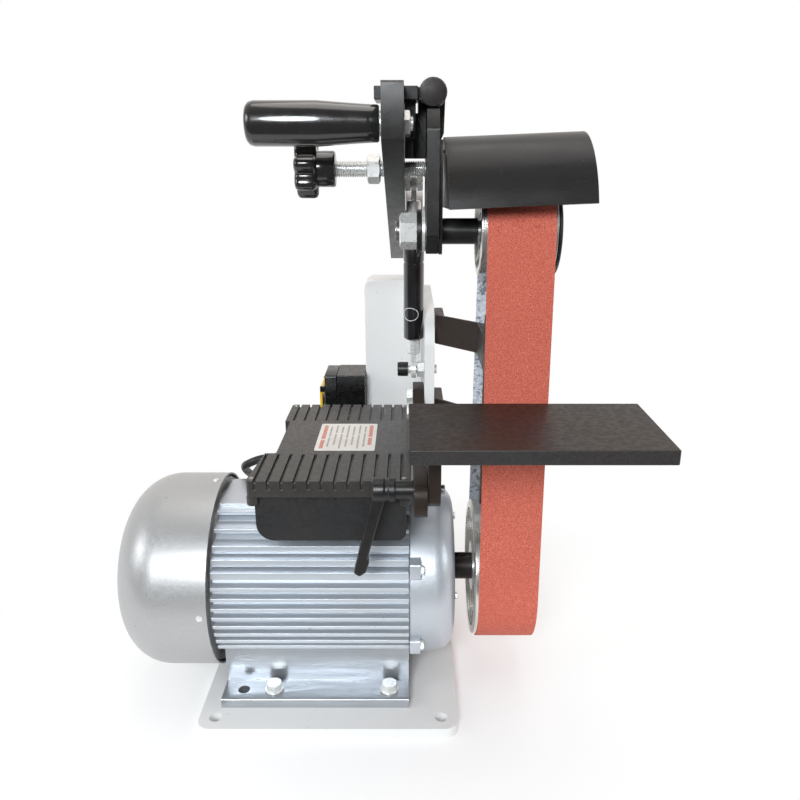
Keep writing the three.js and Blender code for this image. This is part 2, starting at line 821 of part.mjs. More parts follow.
function handleGrip() {
  const x0 = HANDLE_X0;
  const bore = 5 + GAP;
  const profile = [[0, x0], [12, x0], [15.4, x0 + 4], [15.4, x0 + 54]];
  profile.push([13.4, x0 + 78], [12.5, HANDLE_X1]);
  profile.push([bore, HANDLE_X1], [bore, x0 + 16], [0, x0 + 16]);
  return part("handle_grip", turned(profile, 22).translate(0, HANDLE_Y, HANDLE_Z), GLOSS_BLACK);
}

function handleBolt() {
  const shank = rod("x", 5, HANDLE_X0 + 18, LEVER_X1 + 2, HANDLE_Y, HANDLE_Z, 20);
  const collar = rod("x", 8.5, HANDLE_X1 + GAP, LEVER_X0 - GAP, HANDLE_Y, HANDLE_Z, 24);
  const nut = hex("x", 16, LEVER_X1 + GAP, LEVER_X1 + 6.3, HANDLE_Y, HANDLE_Z);
  return part("handle_bolt", join(shank, collar, nut), ZINC);
}

function hingeBar() {
  const low = HINGE_Z - 5.6;
  const bar = box(43.35, 73.95, -109, -69, low, HINGE_Z + 3.4);
  const neck = box(73, HINGE_X, -100, HINGE_SPLIT_Y - GAP, low, HINGE_Z + 3.4);
  const knuckle = rod("y", HINGE_R, -100, HINGE_SPLIT_Y - GAP, HINGE_X, HINGE_Z, 24);
  const leg = box(LEVER_X1 + GAP, 72.6, -97, -69, 472, low + 1);
  const foot = box(LEVER_X1 + GAP, 71.3, -92, -69, 458, 473);
  const bore = rod("y", HINGE_PIN_R + GAP, -110, -60, HINGE_X, HINGE_Z, 24);
  return part("hinge_bar", cut(join(bar, neck, knuckle, leg, foot), bore), BLACK_PAINT);
}

function hingePin() {
  const pin = rod("y", HINGE_PIN_R, -102, -42, HINGE_X, HINGE_Z, 16);
  const head = rod("y", 9.3, -102.3, -100.3, HINGE_X, HINGE_Z, 24);
  return part("hinge_pin", join(pin, head), STEEL);
}

// ---------- tracking head ----------

function trackingPlate() {
  const outline = [
    [-114, 405],
    [-98, 390],
    [-51, 390, 4],
    [-39, 402, 4],
    [-39, 486, 4],
    [-44, 492],
    [-104, 492, 4],
    [-114, 478, 4],
  ];
  const plate = slab("x", outline, TRACK_X0, TRACK_X1, [[IDLER_Y, IDLER_Z, AXLE_R + GAP]]);
  const web = [
    [TRACK_STRAP_X0, 486],
    [TRACK_X0, 466],
    [TRACK_X1, 466],
    [HINGE_X + 9, 476],
    [HINGE_X + 9.8, HINGE_Z],
    [TRACK_STRAP_X0, HINGE_Z],
  ];
  const strap = slab("y", web, HINGE_SPLIT_Y, -44);
  const pad = box(67.5, TRACK_X0 + 1, -66, -46, 458, 490.5);
  const knuckle = rod("y", HINGE_R, HINGE_SPLIT_Y, -44, HINGE_X, HINGE_Z, 24);
  const bore = rod("y", HINGE_PIN_R + GAP, -80, -40, HINGE_X, HINGE_Z, 24);
  return part("tracking_plate", cut(join(plate, strap, pad, knuckle), bore), BLACK_PAINT);
}

function axle() {
  const r = AXLE_R;
  const profile = [[0, 57], [r, 57], [r, 172], [0, 172]];
  return part("axle", turned(profile, 20), STEEL);
}

function axleNut() {
  const bore = rod("x", AXLE_R + GAP, 50, 90, 0, 0, 24);
  const nut = hex("x", 24, 60.55, 73.6, 0, 0);
  const disc = rod("x", 16.5, 73.5, 77.3, 0, 0, 24);
  const washer = rod("x", 15.5, 77.2, TRACK_X0 - GAP, 0, 0, 24);
  return part("axle_nut", cut(join(nut, disc, washer), bore), ZINC);
}

function wheelSpacer() {
  const x0 = TRACK_X1 + GAP;
  const x1 = IDLER_X0 - GAP;
  const b = AXLE_R + GAP;
  const r = 9.8;
  return part("wheel_spacer", turned([[r, x0], [r, x1], [b, x1], [b, x0]], 20), BLACK_PAINT);
}

function idlerBearing() {
  const b = AXLE_R + GAP;
  const x0 = IDLER_X0 + 2;
  const x1 = IDLER_X1 - 14;
  const profile = [[b, x0], [17, x0], [17, x0 + 12], [12, x0 + 12]];
  profile.push([12, x1 - 12], [17, x1 - 12], [17, x1], [b, x1]);
  return part("idler_bearing", turned(profile, 20), STEEL);
}

function topWheel() {
  const r = IDLER_R;
  const seat = 17 + GAP;
  const x0 = IDLER_X0;
  const x1 = IDLER_X1;
  const profile = [
    [seat, x0],
    [r, x0],
    [r, x1],
    [0, x1],
    [0, x1 - 2.5],
    [seat, x1 - 2.5],
  ];
  return part("top_wheel", turned(profile, 32), ALUMINIUM);
}

// The guard's sheet follows an arc round the wheel and is closed by a wall on the lever side.
function guard() {
  const arcPoints = (r, from, to, steps) =>
    Array.from({ length: steps + 1 }, (_, i) => {
      const a = THREE.MathUtils.degToRad(from + ((to - from) * i) / steps);
      return [r * Math.cos(a), r * Math.sin(a)];
    });
  const outer = arcPoints(GUARD_R, 5, 170, 26);
  const inner = arcPoints(GUARD_R - GUARD_SHEET, 170, 5, 26);
  const length = GUARD_X1 - GUARD_X0;
  const cover = slab("x", [...outer, ...inner], 0, length);
  const wall = slab("x", outer, 0, GUARD_SHEET);
  const shaftRoom = rod("x", 17, -2, 6, IDLER_Y - GUARD_Y, IDLER_Z - GUARD_Z, 32);
  const hood = join(cover, cut(wall, shaftRoom));
  hood.rotateY(THREE.MathUtils.degToRad(GUARD_LEAN));
  hood.translate(GUARD_X0, GUARD_Y, GUARD_Z);
  const flangeX = TRACK_X1 + GAP;
  const outline = [
    [-108, 390, 6],
    [-44, 390, 6],
    [-44, 464],
    [-76, 464],
    [-76, 471],
    [-108, 471, 6],
  ];
  const passage = [[IDLER_Y, IDLER_Z, 11]];
  const flange = slab("x", outline, flangeX, flangeX + GUARD_SHEET, passage);
  const web = box(flangeX, GUARD_X0 + 2, -104, -42, 461.5, 464);
  return part("guard", join(hood, flange, web), GUARD_PAINT);
}

function trackingScrew() {
  const r = SCREW_R;
  const tip = TRACK_X0 - GAP;
  const profile = [[0, KNOB_X0 + 10], [r, KNOB_X0 + 10], [r, tip - 3], [r - 2, tip], [0, tip]];
  return part("tracking_screw", turned(profile, 18).translate(0, SCREW_Y, SCREW_Z), ZINC);
}

function trackingKnob() {
  const star = [];
  const steps = KNOB_LOBES * 6;
  for (let i = 0; i < steps; i++) {
    const a = (2 * Math.PI * i) / steps;
    const r = 19.8 - 2.6 * Math.cos(KNOB_LOBES * a);
    star.push([SCREW_Y + r * Math.sin(a), SCREW_Z + r * Math.cos(a)]);
  }
  const head = slab("x", star.reverse(), KNOB_X0, KNOB_X0 + 16.6);
  const hub = rod("x", 13.35, KNOB_X0 + 15, 11.75, SCREW_Y, SCREW_Z, 20);
  const bore = rod("x", SCREW_R + GAP, KNOB_X0 + 10 - GAP, 20, SCREW_Y, SCREW_Z);
  return part("tracking_knob", cut(join(head, hub), bore), GLOSS_BLACK);
}

function jamNut() {
  const nut = hex("x", 19, 36.05, 45.95, SCREW_Y, SCREW_Z);
  const bore = rod("x", SCREW_R + GAP, 30, 50, SCREW_Y, SCREW_Z);
  return part("jam_nut", cut(nut, bore), ZINC);
}

function trackingHead() {
  const idler = group("idler", [0, IDLER_Y, IDLER_Z], axle(), axleNut(), wheelSpacer());
  idler.add(idlerBearing(), topWheel());
  return group("tracking_head", [0, 0, 0], trackingPlate(), guard(), idler);
}

function tensionLever() {
  const screw = group("tracking_adjuster", [0, 0, 0], trackingScrew(), trackingKnob());
  const grip = group("handle", [0, 0, 0], handleGrip(), handleBolt());
  const lever = group("tension_lever", [0, 0, 0], leverArm(), hingeBar(), hingePin(), jamNut());
  lever.add(grip, screw, trackingHead());
  return lever;
}

// ---------- gas spring, drawn upright from its lower eye ----------

const SPRING_LONG = Math.hypot(
  SPRING_HIGH[0] - SPRING_LOW[0],
  SPRING_HIGH[1] - SPRING_LOW[1],
);

function gasTube() {
  const eye = rod("x", 8, -2.25, 2.25);
  const neck = box(-2.25, 2.25, -5, 5, 4, 20);
  const collar = rod("z", 5.9, 16, 30);
  const profile = [
    [0, 29],
    [TUBE_R, 29],
    [TUBE_R, 113],
    [TUBE_R - 2, 115],
    [ROD_R + GAP, 115],
    [ROD_R + GAP, 110],
    [7.4, 110],
    [7.4, 34],
    [0, 34],
  ];
  const tube = turned(profile, 18).rotateY(-Math.PI / 2);
  const hole = rod("x", 4 + GAP, -5, 5);
  return part("gas_tube", cut(join(eye, neck, collar, tube), hole), GLOSS_BLACK);
}

function gasRod() {
  const top = SPRING_LONG;
  const eye = rod("x", 8, -2.25, 2.25, 0, top);
  const neck = box(-2.25, 2.25, -5, 5, top - 17, top - 4);
  const collar = rod("z", 5.9, top - 26, top - 14);
  const bar = rod("z", ROD_R, 60, top - 20);
  const piston = rod("z", 7, 60, 68);
  const hole = rod("x", 5.2, -5, 5, 0, top);
  return part("gas_rod", cut(join(eye, neck, collar, bar, piston), hole), ZINC);
}

function gasSpring() {
  const spring = group("gas_spring", [SPRING_X, ...SPRING_LOW], gasTube(), gasRod());
  spring.rotation.x = Math.atan2(SPRING_LOW[0] - SPRING_HIGH[0], SPRING_HIGH[1] - SPRING_LOW[1]);
  return spring;
}

function gasLowerBolt() {
  const [y, z] = SPRING_LOW;
  const head = rod("x", 6.5, SPRING_X - 14.5, SPRING_X - 4.9, y, z, 24);
  const socket = hex("x", 6, SPRING_X - 15, SPRING_X - 10.5, y, z);
  const shank = rod("x", 4, SPRING_X - 6, PLATE_X1 + 2.4, y, z, 20);
  const nut = hex("x", 13, SPRING_X + 3.1, PLATE_X0 - GAP, y, z);
  return part("gas_lower_bolt", cut(join(head, shank, nut), socket), ZINC);
}

function gasUpperBolt() {
  const [y, z] = SPRING_HIGH;
  const nut = hex("x", 13, LEVER_X1 + GAP, SPRING_X - 2.7, y, z);
  const shank = rod("x", 4, LEVER_X0 + 1, SPRING_X + 5, y, z, 20);
  const head = hex("x", 13, SPRING_X + 2.7, SPRING_X + 7.5, y, z);
  return part("gas_upper_bolt", join(nut, shank, head), ZINC);
}

// ---------- switch ----------

function switchBody() {
  const shell = box(SWITCH_SEAM + GAP, SWITCH_X1, SWITCH_Y0, SWITCH_Y1, SWITCH_Z0, SWITCH_Z1);
  const inside = box(
    SWITCH_SEAM,
    SWITCH_X1 - 2.5,
    SWITCH_Y0 + 2.5,
    SWITCH_Y1 - 2.5,
    SWITCH_Z0 + 2.5,
    SWITCH_Z1 - 2.5,
  );
  const gland = rod("z", 7, SWITCH_Z0 - 10, SWITCH_Z0 + 1, 5, 103, 24);
  const inlet = rod("z", 5, SWITCH_Z0 - 8, SWITCH_Z0 + 1, 15, 90, 20);
  const bore = rod("z", 4, SWITCH_Z0 - 12, SWITCH_Z0 + 4, 5, 103, 20);
  return part("switch_body", cut(join(cut(shell, inside), gland, inlet), bore), RUBBER);
}

function switchBezel() {
  const outline = [
    [SWITCH_Y0, SWITCH_Z0, 3],
    [SWITCH_Y1, SWITCH_Z0, 3],
    [SWITCH_Y1, SWITCH_Z1, 3],
    [SWITCH_Y0, SWITCH_Z1, 3],
  ];
  const plate = slab("x", outline, SWITCH_X0, SWITCH_SEAM);
  const pockets = BUTTON_Y.map((y) => rod("x", 6 + GAP, SWITCH_X0 - 1, SWITCH_X0 + 8, y, BUTTON_Z));
  const pin = rod("y", 1.6, SWITCH_Y0 + 3, SWITCH_Y1 - 3, FLAP_AXIS_X, FLAP_AXIS_Z, 12);
  const ears = [SWITCH_Y0 + 2, SWITCH_Y1 - 4.7].map((y) =>
    box(FLAP_AXIS_X - 2.4, SWITCH_X0 + 1, y, y + 2.7, FLAP_AXIS_Z - 3, FLAP_AXIS_Z + 3),
  );
  return part("switch_bezel", join(cut(plate, ...pockets), pin, ...ears), BLACK_PAINT);
}

function switchFlap() {
  const x = SWITCH_X0 - 6;
  const top = FLAP_AXIS_Z + 2.6;
  const outline = [
    [x, 190, 1.5],
    [x + 2.5, 188],
    [x + 2.5, FLAP_AXIS_Z - 5],
    [SWITCH_X0 - GAP, FLAP_AXIS_Z - 5],
    [SWITCH_X0 - GAP, top, 2.6],
    [x + 0.4, top, 2.6],
    [x, FLAP_AXIS_Z - 5],
  ];
  const bore = [[FLAP_AXIS_X, FLAP_AXIS_Z, 1.6 + GAP]];
  const flap = slab("y", outline, SWITCH_Y0 + 5, SWITCH_Y1 - 5, bore);
  return part("switch_flap", flap, YELLOW);
}

function button(name, y, material) {
  const body = rod("x", 6, SWITCH_X0 - 2.6, SWITCH_X0 + 5, y, BUTTON_Z, 20);
  return part(name, body, material);
}

// ---------- assembly ----------

function upright() {
  return group("upright", [0, 0, 0], basePlate(), sidePlate(), rearColumn(), pivotEar());
}

function terminal() {
  return group("terminal", [0, 0, 0], terminalBox(), terminalLid(), capacitor(), motorCable());
}

function platenAssembly() {
  return group(
    "platen_assembly",
    [0, 0, 0],
    platen(),
    platenBracket("platen_bracket_upper", BRACKET_UPPER_Z),
    platenBracket("platen_bracket_lower", BRACKET_LOWER_Z),
  );
}

function tableAssembly() {
  return group(
    "table_assembly",
    [0, 0, 0],
    tableArm(),
    tableArmBolt("table_arm_bolt_lower", TABLE_BOLT_Z[0]),
    tableArmBolt("table_arm_bolt_upper", TABLE_BOLT_Z[1]),
    group("table_tilt", [0, 0, 0], tableBracket(), workTable()),
    clampLever(),
  );
}

function switchBox() {
  return group(
    "switch",
    [0, 0, 0],
    switchBody(),
    switchBezel(),
    switchFlap(),
    button("start_button", BUTTON_Y[0], GREEN),
    button("stop_button", BUTTON_Y[1], RED),
  );
}

const grinder = group(
  "belt_grinder",
  [0, 0, 0],
  upright(),
  motor(),
  terminal(),
  abrasiveBelt(),
  platenAssembly(),
  tableAssembly(),
  leverPivotBolt(),
  tensionLever(),
  gasSpring(),
  gasLowerBolt(),
  gasUpperBolt(),
  switchBox(),
);

export default grinder;
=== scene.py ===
"""Looks of the bench belt grinder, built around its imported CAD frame.

Builders work in millimetres and meshes are stored in metres, in the frame of the CAD:
+X is the belt side, -Y faces the operator and +Z is up.
"""

import json
import math
from collections import namedtuple

import bmesh
import bpy
from mathutils import Matrix, Vector


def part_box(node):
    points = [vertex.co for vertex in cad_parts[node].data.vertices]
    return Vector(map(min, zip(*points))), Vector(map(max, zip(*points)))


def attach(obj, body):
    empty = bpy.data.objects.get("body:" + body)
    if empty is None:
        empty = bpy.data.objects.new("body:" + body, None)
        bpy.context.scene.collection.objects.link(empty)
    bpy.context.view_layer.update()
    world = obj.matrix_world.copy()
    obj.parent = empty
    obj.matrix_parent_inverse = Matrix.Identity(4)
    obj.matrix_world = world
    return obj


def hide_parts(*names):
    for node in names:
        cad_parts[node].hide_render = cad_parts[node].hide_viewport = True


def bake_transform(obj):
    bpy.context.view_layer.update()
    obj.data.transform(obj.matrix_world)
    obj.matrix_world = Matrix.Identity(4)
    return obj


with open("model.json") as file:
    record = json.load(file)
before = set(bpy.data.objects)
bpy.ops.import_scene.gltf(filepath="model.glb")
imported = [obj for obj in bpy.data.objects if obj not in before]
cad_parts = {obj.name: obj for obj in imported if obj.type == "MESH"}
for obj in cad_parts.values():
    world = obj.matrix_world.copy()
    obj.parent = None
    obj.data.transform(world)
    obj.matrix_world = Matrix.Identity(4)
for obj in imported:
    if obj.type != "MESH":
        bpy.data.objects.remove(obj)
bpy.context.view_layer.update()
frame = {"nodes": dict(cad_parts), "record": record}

MM = 0.001
GAP = 0.3
BODY = {n: b for b, names in frame["record"]["behaviour"]["bodies"].items() for n in names}
Span = namedtuple("Span", "x0 x1 y0 y1 z0 z1")


def span(node):
    """A CAD node's limits in millimetres."""
    lo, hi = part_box(node)
    return Span(*(v / MM for pair in zip(lo, hi) for v in pair))


def middle(node):
    """The (y, z) centre of a CAD node that is turned about X."""
    s = span(node)
    return (s.y0 + s.y1) / 2, (s.z0 + s.z1) / 2


# ---------- materials ----------


class Recipe:
    """A node material round one Principled shader, with its texture helpers."""

    def __init__(self, name, color, roughness, metallic=0.0, **sockets):
        self.material = bpy.data.materials.new(name)
        self.material.use_nodes = True
        self.nodes = self.material.node_tree.nodes
        self.links = self.material.node_tree.links
        self.shader = self.nodes["Principled BSDF"]
        self.color = (*color, 1.0)
        self.height = None
        self.put(self.shader, "Base Color", self.color)
        self.put(self.shader, "Roughness", roughness)
        self.put(self.shader, "Metallic", metallic)
        for socket, value in sockets.items():
            self.put(self.shader, socket.replace("_", " "), value)

    def put(self, node, socket, value):
        if isinstance(value, bpy.types.NodeSocket):
            self.links.new(value, node.inputs[socket])
        else:
            node.inputs[socket].default_value = value

    def add(self, kind, inputs=(), **settings):
        node = self.nodes.new(kind)
        for key, value in settings.items():
            setattr(node, key, value)
        for socket, value in dict(inputs).items():
            self.put(node, socket, value)
        return node

    def place(self, stretch=(1, 1, 1), turn=(0, 0, 0)):
        where = self.add("ShaderNodeTexCoord").outputs["Object"]
        inputs = {"Vector": where, "Scale": stretch, "Rotation": turn}
        return self.add("ShaderNodeMapping", inputs).outputs["Vector"]

    def noise(self, scale, detail=2.0, stretch=(1, 1, 1), turn=(0, 0, 0)):
        inputs = {"Vector": self.place(stretch, turn), "Scale": scale, "Detail": detail}
        return self.add("ShaderNodeTexNoise", inputs).outputs["Fac"]

    def cells(self, scale, stretch=(1, 1, 1)):
        inputs = {"Vector": self.place(stretch), "Scale": scale}
        return self.add("ShaderNodeTexVoronoi", inputs).outputs["Distance"]

    def rings(self, centre, scale):
        """Fine turning marks about X through centre, a (y, z) pair in millimetres."""
        split = self.add("ShaderNodeSeparateXYZ", {"Vector": self.place()}).outputs
        steps = [self.math("SUBTRACT", split[a], c * MM) for a, c in zip("YZ", centre)]
        square = [self.math("MULTIPLY", s, s) for s in steps]
        radius = self.math("SQRT", self.math("ADD", *square), 0.0)
        point = self.add("ShaderNodeCombineXYZ", {"X": radius, "Y": split["X"]})
        inputs = {"Vector": point.outputs["Vector"], "Scale": scale, "Detail": 3.0}
        return self.add("ShaderNodeTexNoise", inputs).outputs["Fac"]

    def math(self, operation, a, b):
        node = self.add("ShaderNodeMath", operation=operation)
        self.put(node, 0, a)
        self.put(node, 1, b)
        return node.outputs[0]

    def ramp(self, value, low, high, start=0.0, end=1.0):
        inputs = {"Value": value, "From Min": low, "From Max": high}
        inputs.update({"To Min": start, "To Max": end})
        return self.add("ShaderNodeMapRange", inputs).outputs["Result"]

    def height_of(self, axis="Z"):
        return self.add("ShaderNodeSeparateXYZ", {"Vector": self.place()}).outputs[axis]

    def wear(self, radius):
        """A mask of sharp edges, wider where radius is larger."""
        soft = self.add("ShaderNodeBevel", {"Radius": radius * MM}, samples=6).outputs["Normal"]
        flat = self.add("ShaderNodeNewGeometry").outputs["Normal"]
        dot = self.add("ShaderNodeVectorMath", operation="DOT_PRODUCT")
        self.put(dot, 0, soft)
        self.put(dot, 1, flat)
        bend = self.math("SUBTRACT", 1.0, dot.outputs["Value"])
        return self.ramp(bend, 0.02, 0.2)

    def tint(self, color, mask):
        """Paints color where mask is 1, over what is there already."""
        mix = self.add("ShaderNodeMix", data_type="RGBA")
        self.put(mix, 0, mask)
        self.put(mix, 6, self.color)
        self.put(mix, 7, (*color, 1.0))
        self.color = mix.outputs[2]
        self.put(self.shader, "Base Color", self.color)
        return self

    def stain(self, color, value, low, high, amount=1.0):
        """Paints color by up to amount as value goes from low to high."""
        return self.tint(color, self.ramp(value, low, high, 0.0, amount))

    def gloss(self, value, low, high):
        """Roughness from low to high as value goes from 0 to 1."""
        self.put(self.shader, "Roughness", self.ramp(value, 0.25, 0.75, low, high))
        return self

    def bump(self, value, depth):
        """Adds a relief of depth millimetres on top of the earlier ones."""
        inputs = {"Height": value, "Distance": depth * MM, "Strength": 1.0}
        node = self.add("ShaderNodeBump", inputs)
        if self.height is not None:
            self.put(node, "Normal", self.height)
        self.height = node.outputs["Normal"]
        self.put(self.shader, "Normal", self.height)
        return self


def powder_coat():
    m = Recipe("white_powder_coat", (0.75, 0.75, 0.745), 0.42)
    m.stain((0.67, 0.66, 0.645), m.noise(9, 4), 0.45, 0.75, 0.6)
    m.stain((0.42, 0.39, 0.35), m.noise(160, 5), 0.68, 0.78, 0.5)
    m.gloss(m.noise(60), 0.34, 0.5)
    return m.bump(m.noise(700, 2), 0.05).material


def silver_paint(name, color):
    m = Recipe(name, color, 0.34, 0.55)
    m.stain((0.50, 0.49, 0.48), m.noise(7, 2), 0.45, 0.75, 0.4)
    m.stain((0.72, 0.72, 0.74), m.noise(1500, 2), 0.6, 0.72, 0.6)
    m.stain((0.16, 0.15, 0.15), m.noise(170, 3), 0.72, 0.78, 0.5)
    m.gloss(m.noise(500, 2), 0.3, 0.46)
    return m.bump(m.noise(900, 2), 0.04).material


def extruded_aluminium():
    m = Recipe("aluminium", (0.41, 0.43, 0.455), 0.32, 0.8)
    streaks = m.noise(260, 4, (0.03, 1, 1))
    m.stain((0.32, 0.34, 0.37), streaks, 0.4, 0.7, 0.7)
    m.stain((0.25, 0.25, 0.26), m.noise(45, 4), 0.66, 0.76, 0.5)
    m.gloss(m.noise(200, 3, (0.1, 1, 1)), 0.24, 0.42)
    return m.bump(streaks, 0.05).material


def turned_aluminium(name, centre):
    m = Recipe(name, (0.78, 0.76, 0.72), 0.24, 0.9)
    marks = m.rings(centre, 2600)
    m.stain((0.50, 0.50, 0.51), marks, 0.45, 0.7, 0.6)
    m.gloss(marks, 0.14, 0.34)
    return m.bump(marks, 0.02).material


def steel():
    m = Recipe("steel", (0.42, 0.42, 0.43), 0.3, 0.9)
    marks = m.noise(900, 3, (1, 0.1, 0.1))
    m.stain((0.2, 0.19, 0.18), m.noise(120, 4), 0.5, 0.75, 0.7)
    m.gloss(marks, 0.22, 0.42)
    return m.bump(marks, 0.015).material


def core_steel():
    m = Recipe("core_steel", (0.30, 0.29, 0.28), 0.4, 0.85)
    sheets = m.noise(1800, 1, (1, 0.002, 0.002))
    m.stain((0.12, 0.11, 0.10), sheets, 0.45, 0.6)
    m.stain((0.25, 0.12, 0.06), m.noise(90, 4), 0.6, 0.8, 0.6)
    return m.bump(sheets, 0.06).material


def dark_steel(name="dark_steel", lit_front=None):
    """Oiled dark steel; its last argument, when given, is the Y of a face painted a lighter grey in
    patches, a painted highlight for the light falling on that face.
    """
    m = Recipe(name, (0.030, 0.020, 0.0155), 0.42, 0.2, Specular_IOR_Level=0.3)
    m.stain((0.022, 0.022, 0.025), m.noise(14, 3), 0.45, 0.65, 0.6)
    m.stain((0.09, 0.075, 0.066), m.noise(420, 5, (0.25, 1, 1)), 0.68, 0.78, 0.4)
    m.stain((0.10, 0.09, 0.085), m.noise(90, 2, (0.06, 9, 1), (0, 0, 0.5)), 0.68, 0.74, 0.5)
    m.tint((0.34, 0.33, 0.32), m.math("MULTIPLY", m.wear(0.9), m.ramp(m.noise(130, 4), 0.42, 0.62)))
    # painted light: the face at the given Y is painted lighter grey in patches, standing for the light
    # falling on it
    if lit_front is not None:
        face = m.ramp(m.height_of("Y"), (lit_front + 0.7) * MM, (lit_front + 0.2) * MM)
        m.tint((0.062, 0.062, 0.064), m.math("MULTIPLY", face, m.ramp(m.noise(900, 3), 0.1, 0.8)))
    m.gloss(m.noise(240, 4), 0.34, 0.56)
    return m.bump(m.noise(800, 3), 0.05).material


def zinc():
    m = Recipe("zinc", (0.80, 0.81, 0.80), 0.3, 0.45)
    m.stain((0.72, 0.70, 0.62), m.noise(60, 2), 0.5, 0.8, 0.4)
    m.stain((0.70, 0.72, 0.75), m.noise(100, 2), 0.55, 0.8, 0.4)
    return m.gloss(m.noise(300, 2), 0.24, 0.36).material


def black_paint():
    m = Recipe("black_paint", (0.014, 0.014, 0.014), 0.34, Specular_IOR_Level=0.4)
    m.stain((0.028, 0.026, 0.024), m.noise(30, 4), 0.45, 0.7, 0.8)
    m.stain((0.10, 0.095, 0.09), m.noise(700, 2), 0.68, 0.78, 0.4)
    m.tint((0.26, 0.25, 0.24), m.math("MULTIPLY", m.wear(0.6), m.ramp(m.noise(160, 4), 0.5, 0.66)))
    m.gloss(m.noise(180, 3), 0.26, 0.4)
    return m.bump(m.noise(1100, 2), 0.03).material


def gloss_black():
    m = Recipe("gloss_black", (0.018, 0.017, 0.017), 0.16, 0.0, Coat_Weight=0.6, Coat_Roughness=0.08)
    m.stain((0.03, 0.03, 0.034), m.noise(60, 3), 0.5, 0.75, 0.5)
    m.gloss(m.noise(90, 3), 0.12, 0.26)
    return m.bump(m.noise(240, 2), 0.03).material


def tube_black():
    m = Recipe("tube_black", (0.006, 0.006, 0.007), 0.2, 0.0, Coat_Weight=1.0, Coat_Roughness=0.05)
    m.stain((0.02, 0.02, 0.024), m.noise(40, 2), 0.45, 0.7, 0.7)
    m.gloss(m.noise(150, 2), 0.14, 0.24)
    return m.bump(m.noise(900, 2), 0.01).material


def guard_paint():
    m = Recipe("guard_paint", (0.024, 0.021, 0.018), 0.3, Specular_IOR_Level=0.2)
    m.stain((0.018, 0.019, 0.023), m.noise(12, 1, (0.4, 1, 1)), 0.3, 0.8, 0.6)
    m.stain((0.16, 0.14, 0.12), m.noise(520, 4), 0.69, 0.78, 0.5)
    m.tint((0.20, 0.18, 0.17), m.math("MULTIPLY", m.wear(0.7), m.ramp(m.noise(90, 4), 0.5, 0.66)))
    m.gloss(m.noise(120, 3, (0.3, 1, 1)), 0.24, 0.36)
    return m.bump(m.noise(900, 2), 0.04).material


def grained_plastic(name, color, pale, roughness=0.42, grain=0.06):
    m = Recipe(name, color, roughness)
    m.stain(pale, m.noise(24, 3), 0.45, 0.7, 0.6)
    m.stain(pale, m.noise(900, 3), 0.6, 0.72, 0.5)
    m.gloss(m.noise(300, 2), roughness - 0.1, roughness + 0.1)
    return m.bump(m.noise(1600, 2), grain).material


def bright_plastic(name, color, deep):
    m = Recipe(name, color, 0.34)
    m.stain(deep, m.noise(45, 3), 0.45, 0.7, 0.6)
    m.gloss(m.noise(260, 2), 0.28, 0.42)
    return m.bump(m.noise(700, 2), 0.02).material


def abrasive():
    m = Recipe("abrasive", (0.61, 0.135, 0.088), 0.85)
    grain = m.noise(1000, 4)
    m.stain((0.36, 0.060, 0.038), grain, 0.5, 0.62, 0.9)
    m.stain((0.80, 0.30, 0.22), m.noise(1200, 3), 0.58, 0.66, 0.7)
    m.stain((0.50, 0.105, 0.070), m.noise(22, 3), 0.45, 0.75, 0.35)
    m.bump(grain, 0.2)
    return m.bump(m.cells(2200), 0.08).material


def belt_cloth():
    m = Recipe("belt_cloth", (0.52, 0.56, 0.62), 0.85)
    m.stain((0.10, 0.22, 0.34), m.noise(150, 3, (1, 1, 0.5)), 0.6, 0.68, 0.6)
    m.stain((0.12, 0.13, 0.17), m.noise(240, 4), 0.5, 0.62, 0.8)
    m.stain((0.75, 0.76, 0.78), m.noise(420, 3), 0.56, 0.66)
    return m.bump(m.noise(1500, 3, (1, 1, 0.3)), 0.1).material


def label_paper():
    m = Recipe("label_paper", (0.76, 0.73, 0.69), 0.45)
    m.stain((0.68, 0.64, 0.59), m.noise(60, 4), 0.45, 0.75, 0.7)
    return m.bump(m.noise(900, 2), 0.01).material


def printed(name, color, faded):
    m = Recipe(name, color, 0.5)
    m.stain(faded, m.noise(1400, 3), 0.42, 0.62)
    return m.bump(m.noise(900, 2), 0.01).material


MOTOR_AXIS = middle("fan_cowl")
IDLER_AXIS = middle("top_wheel")

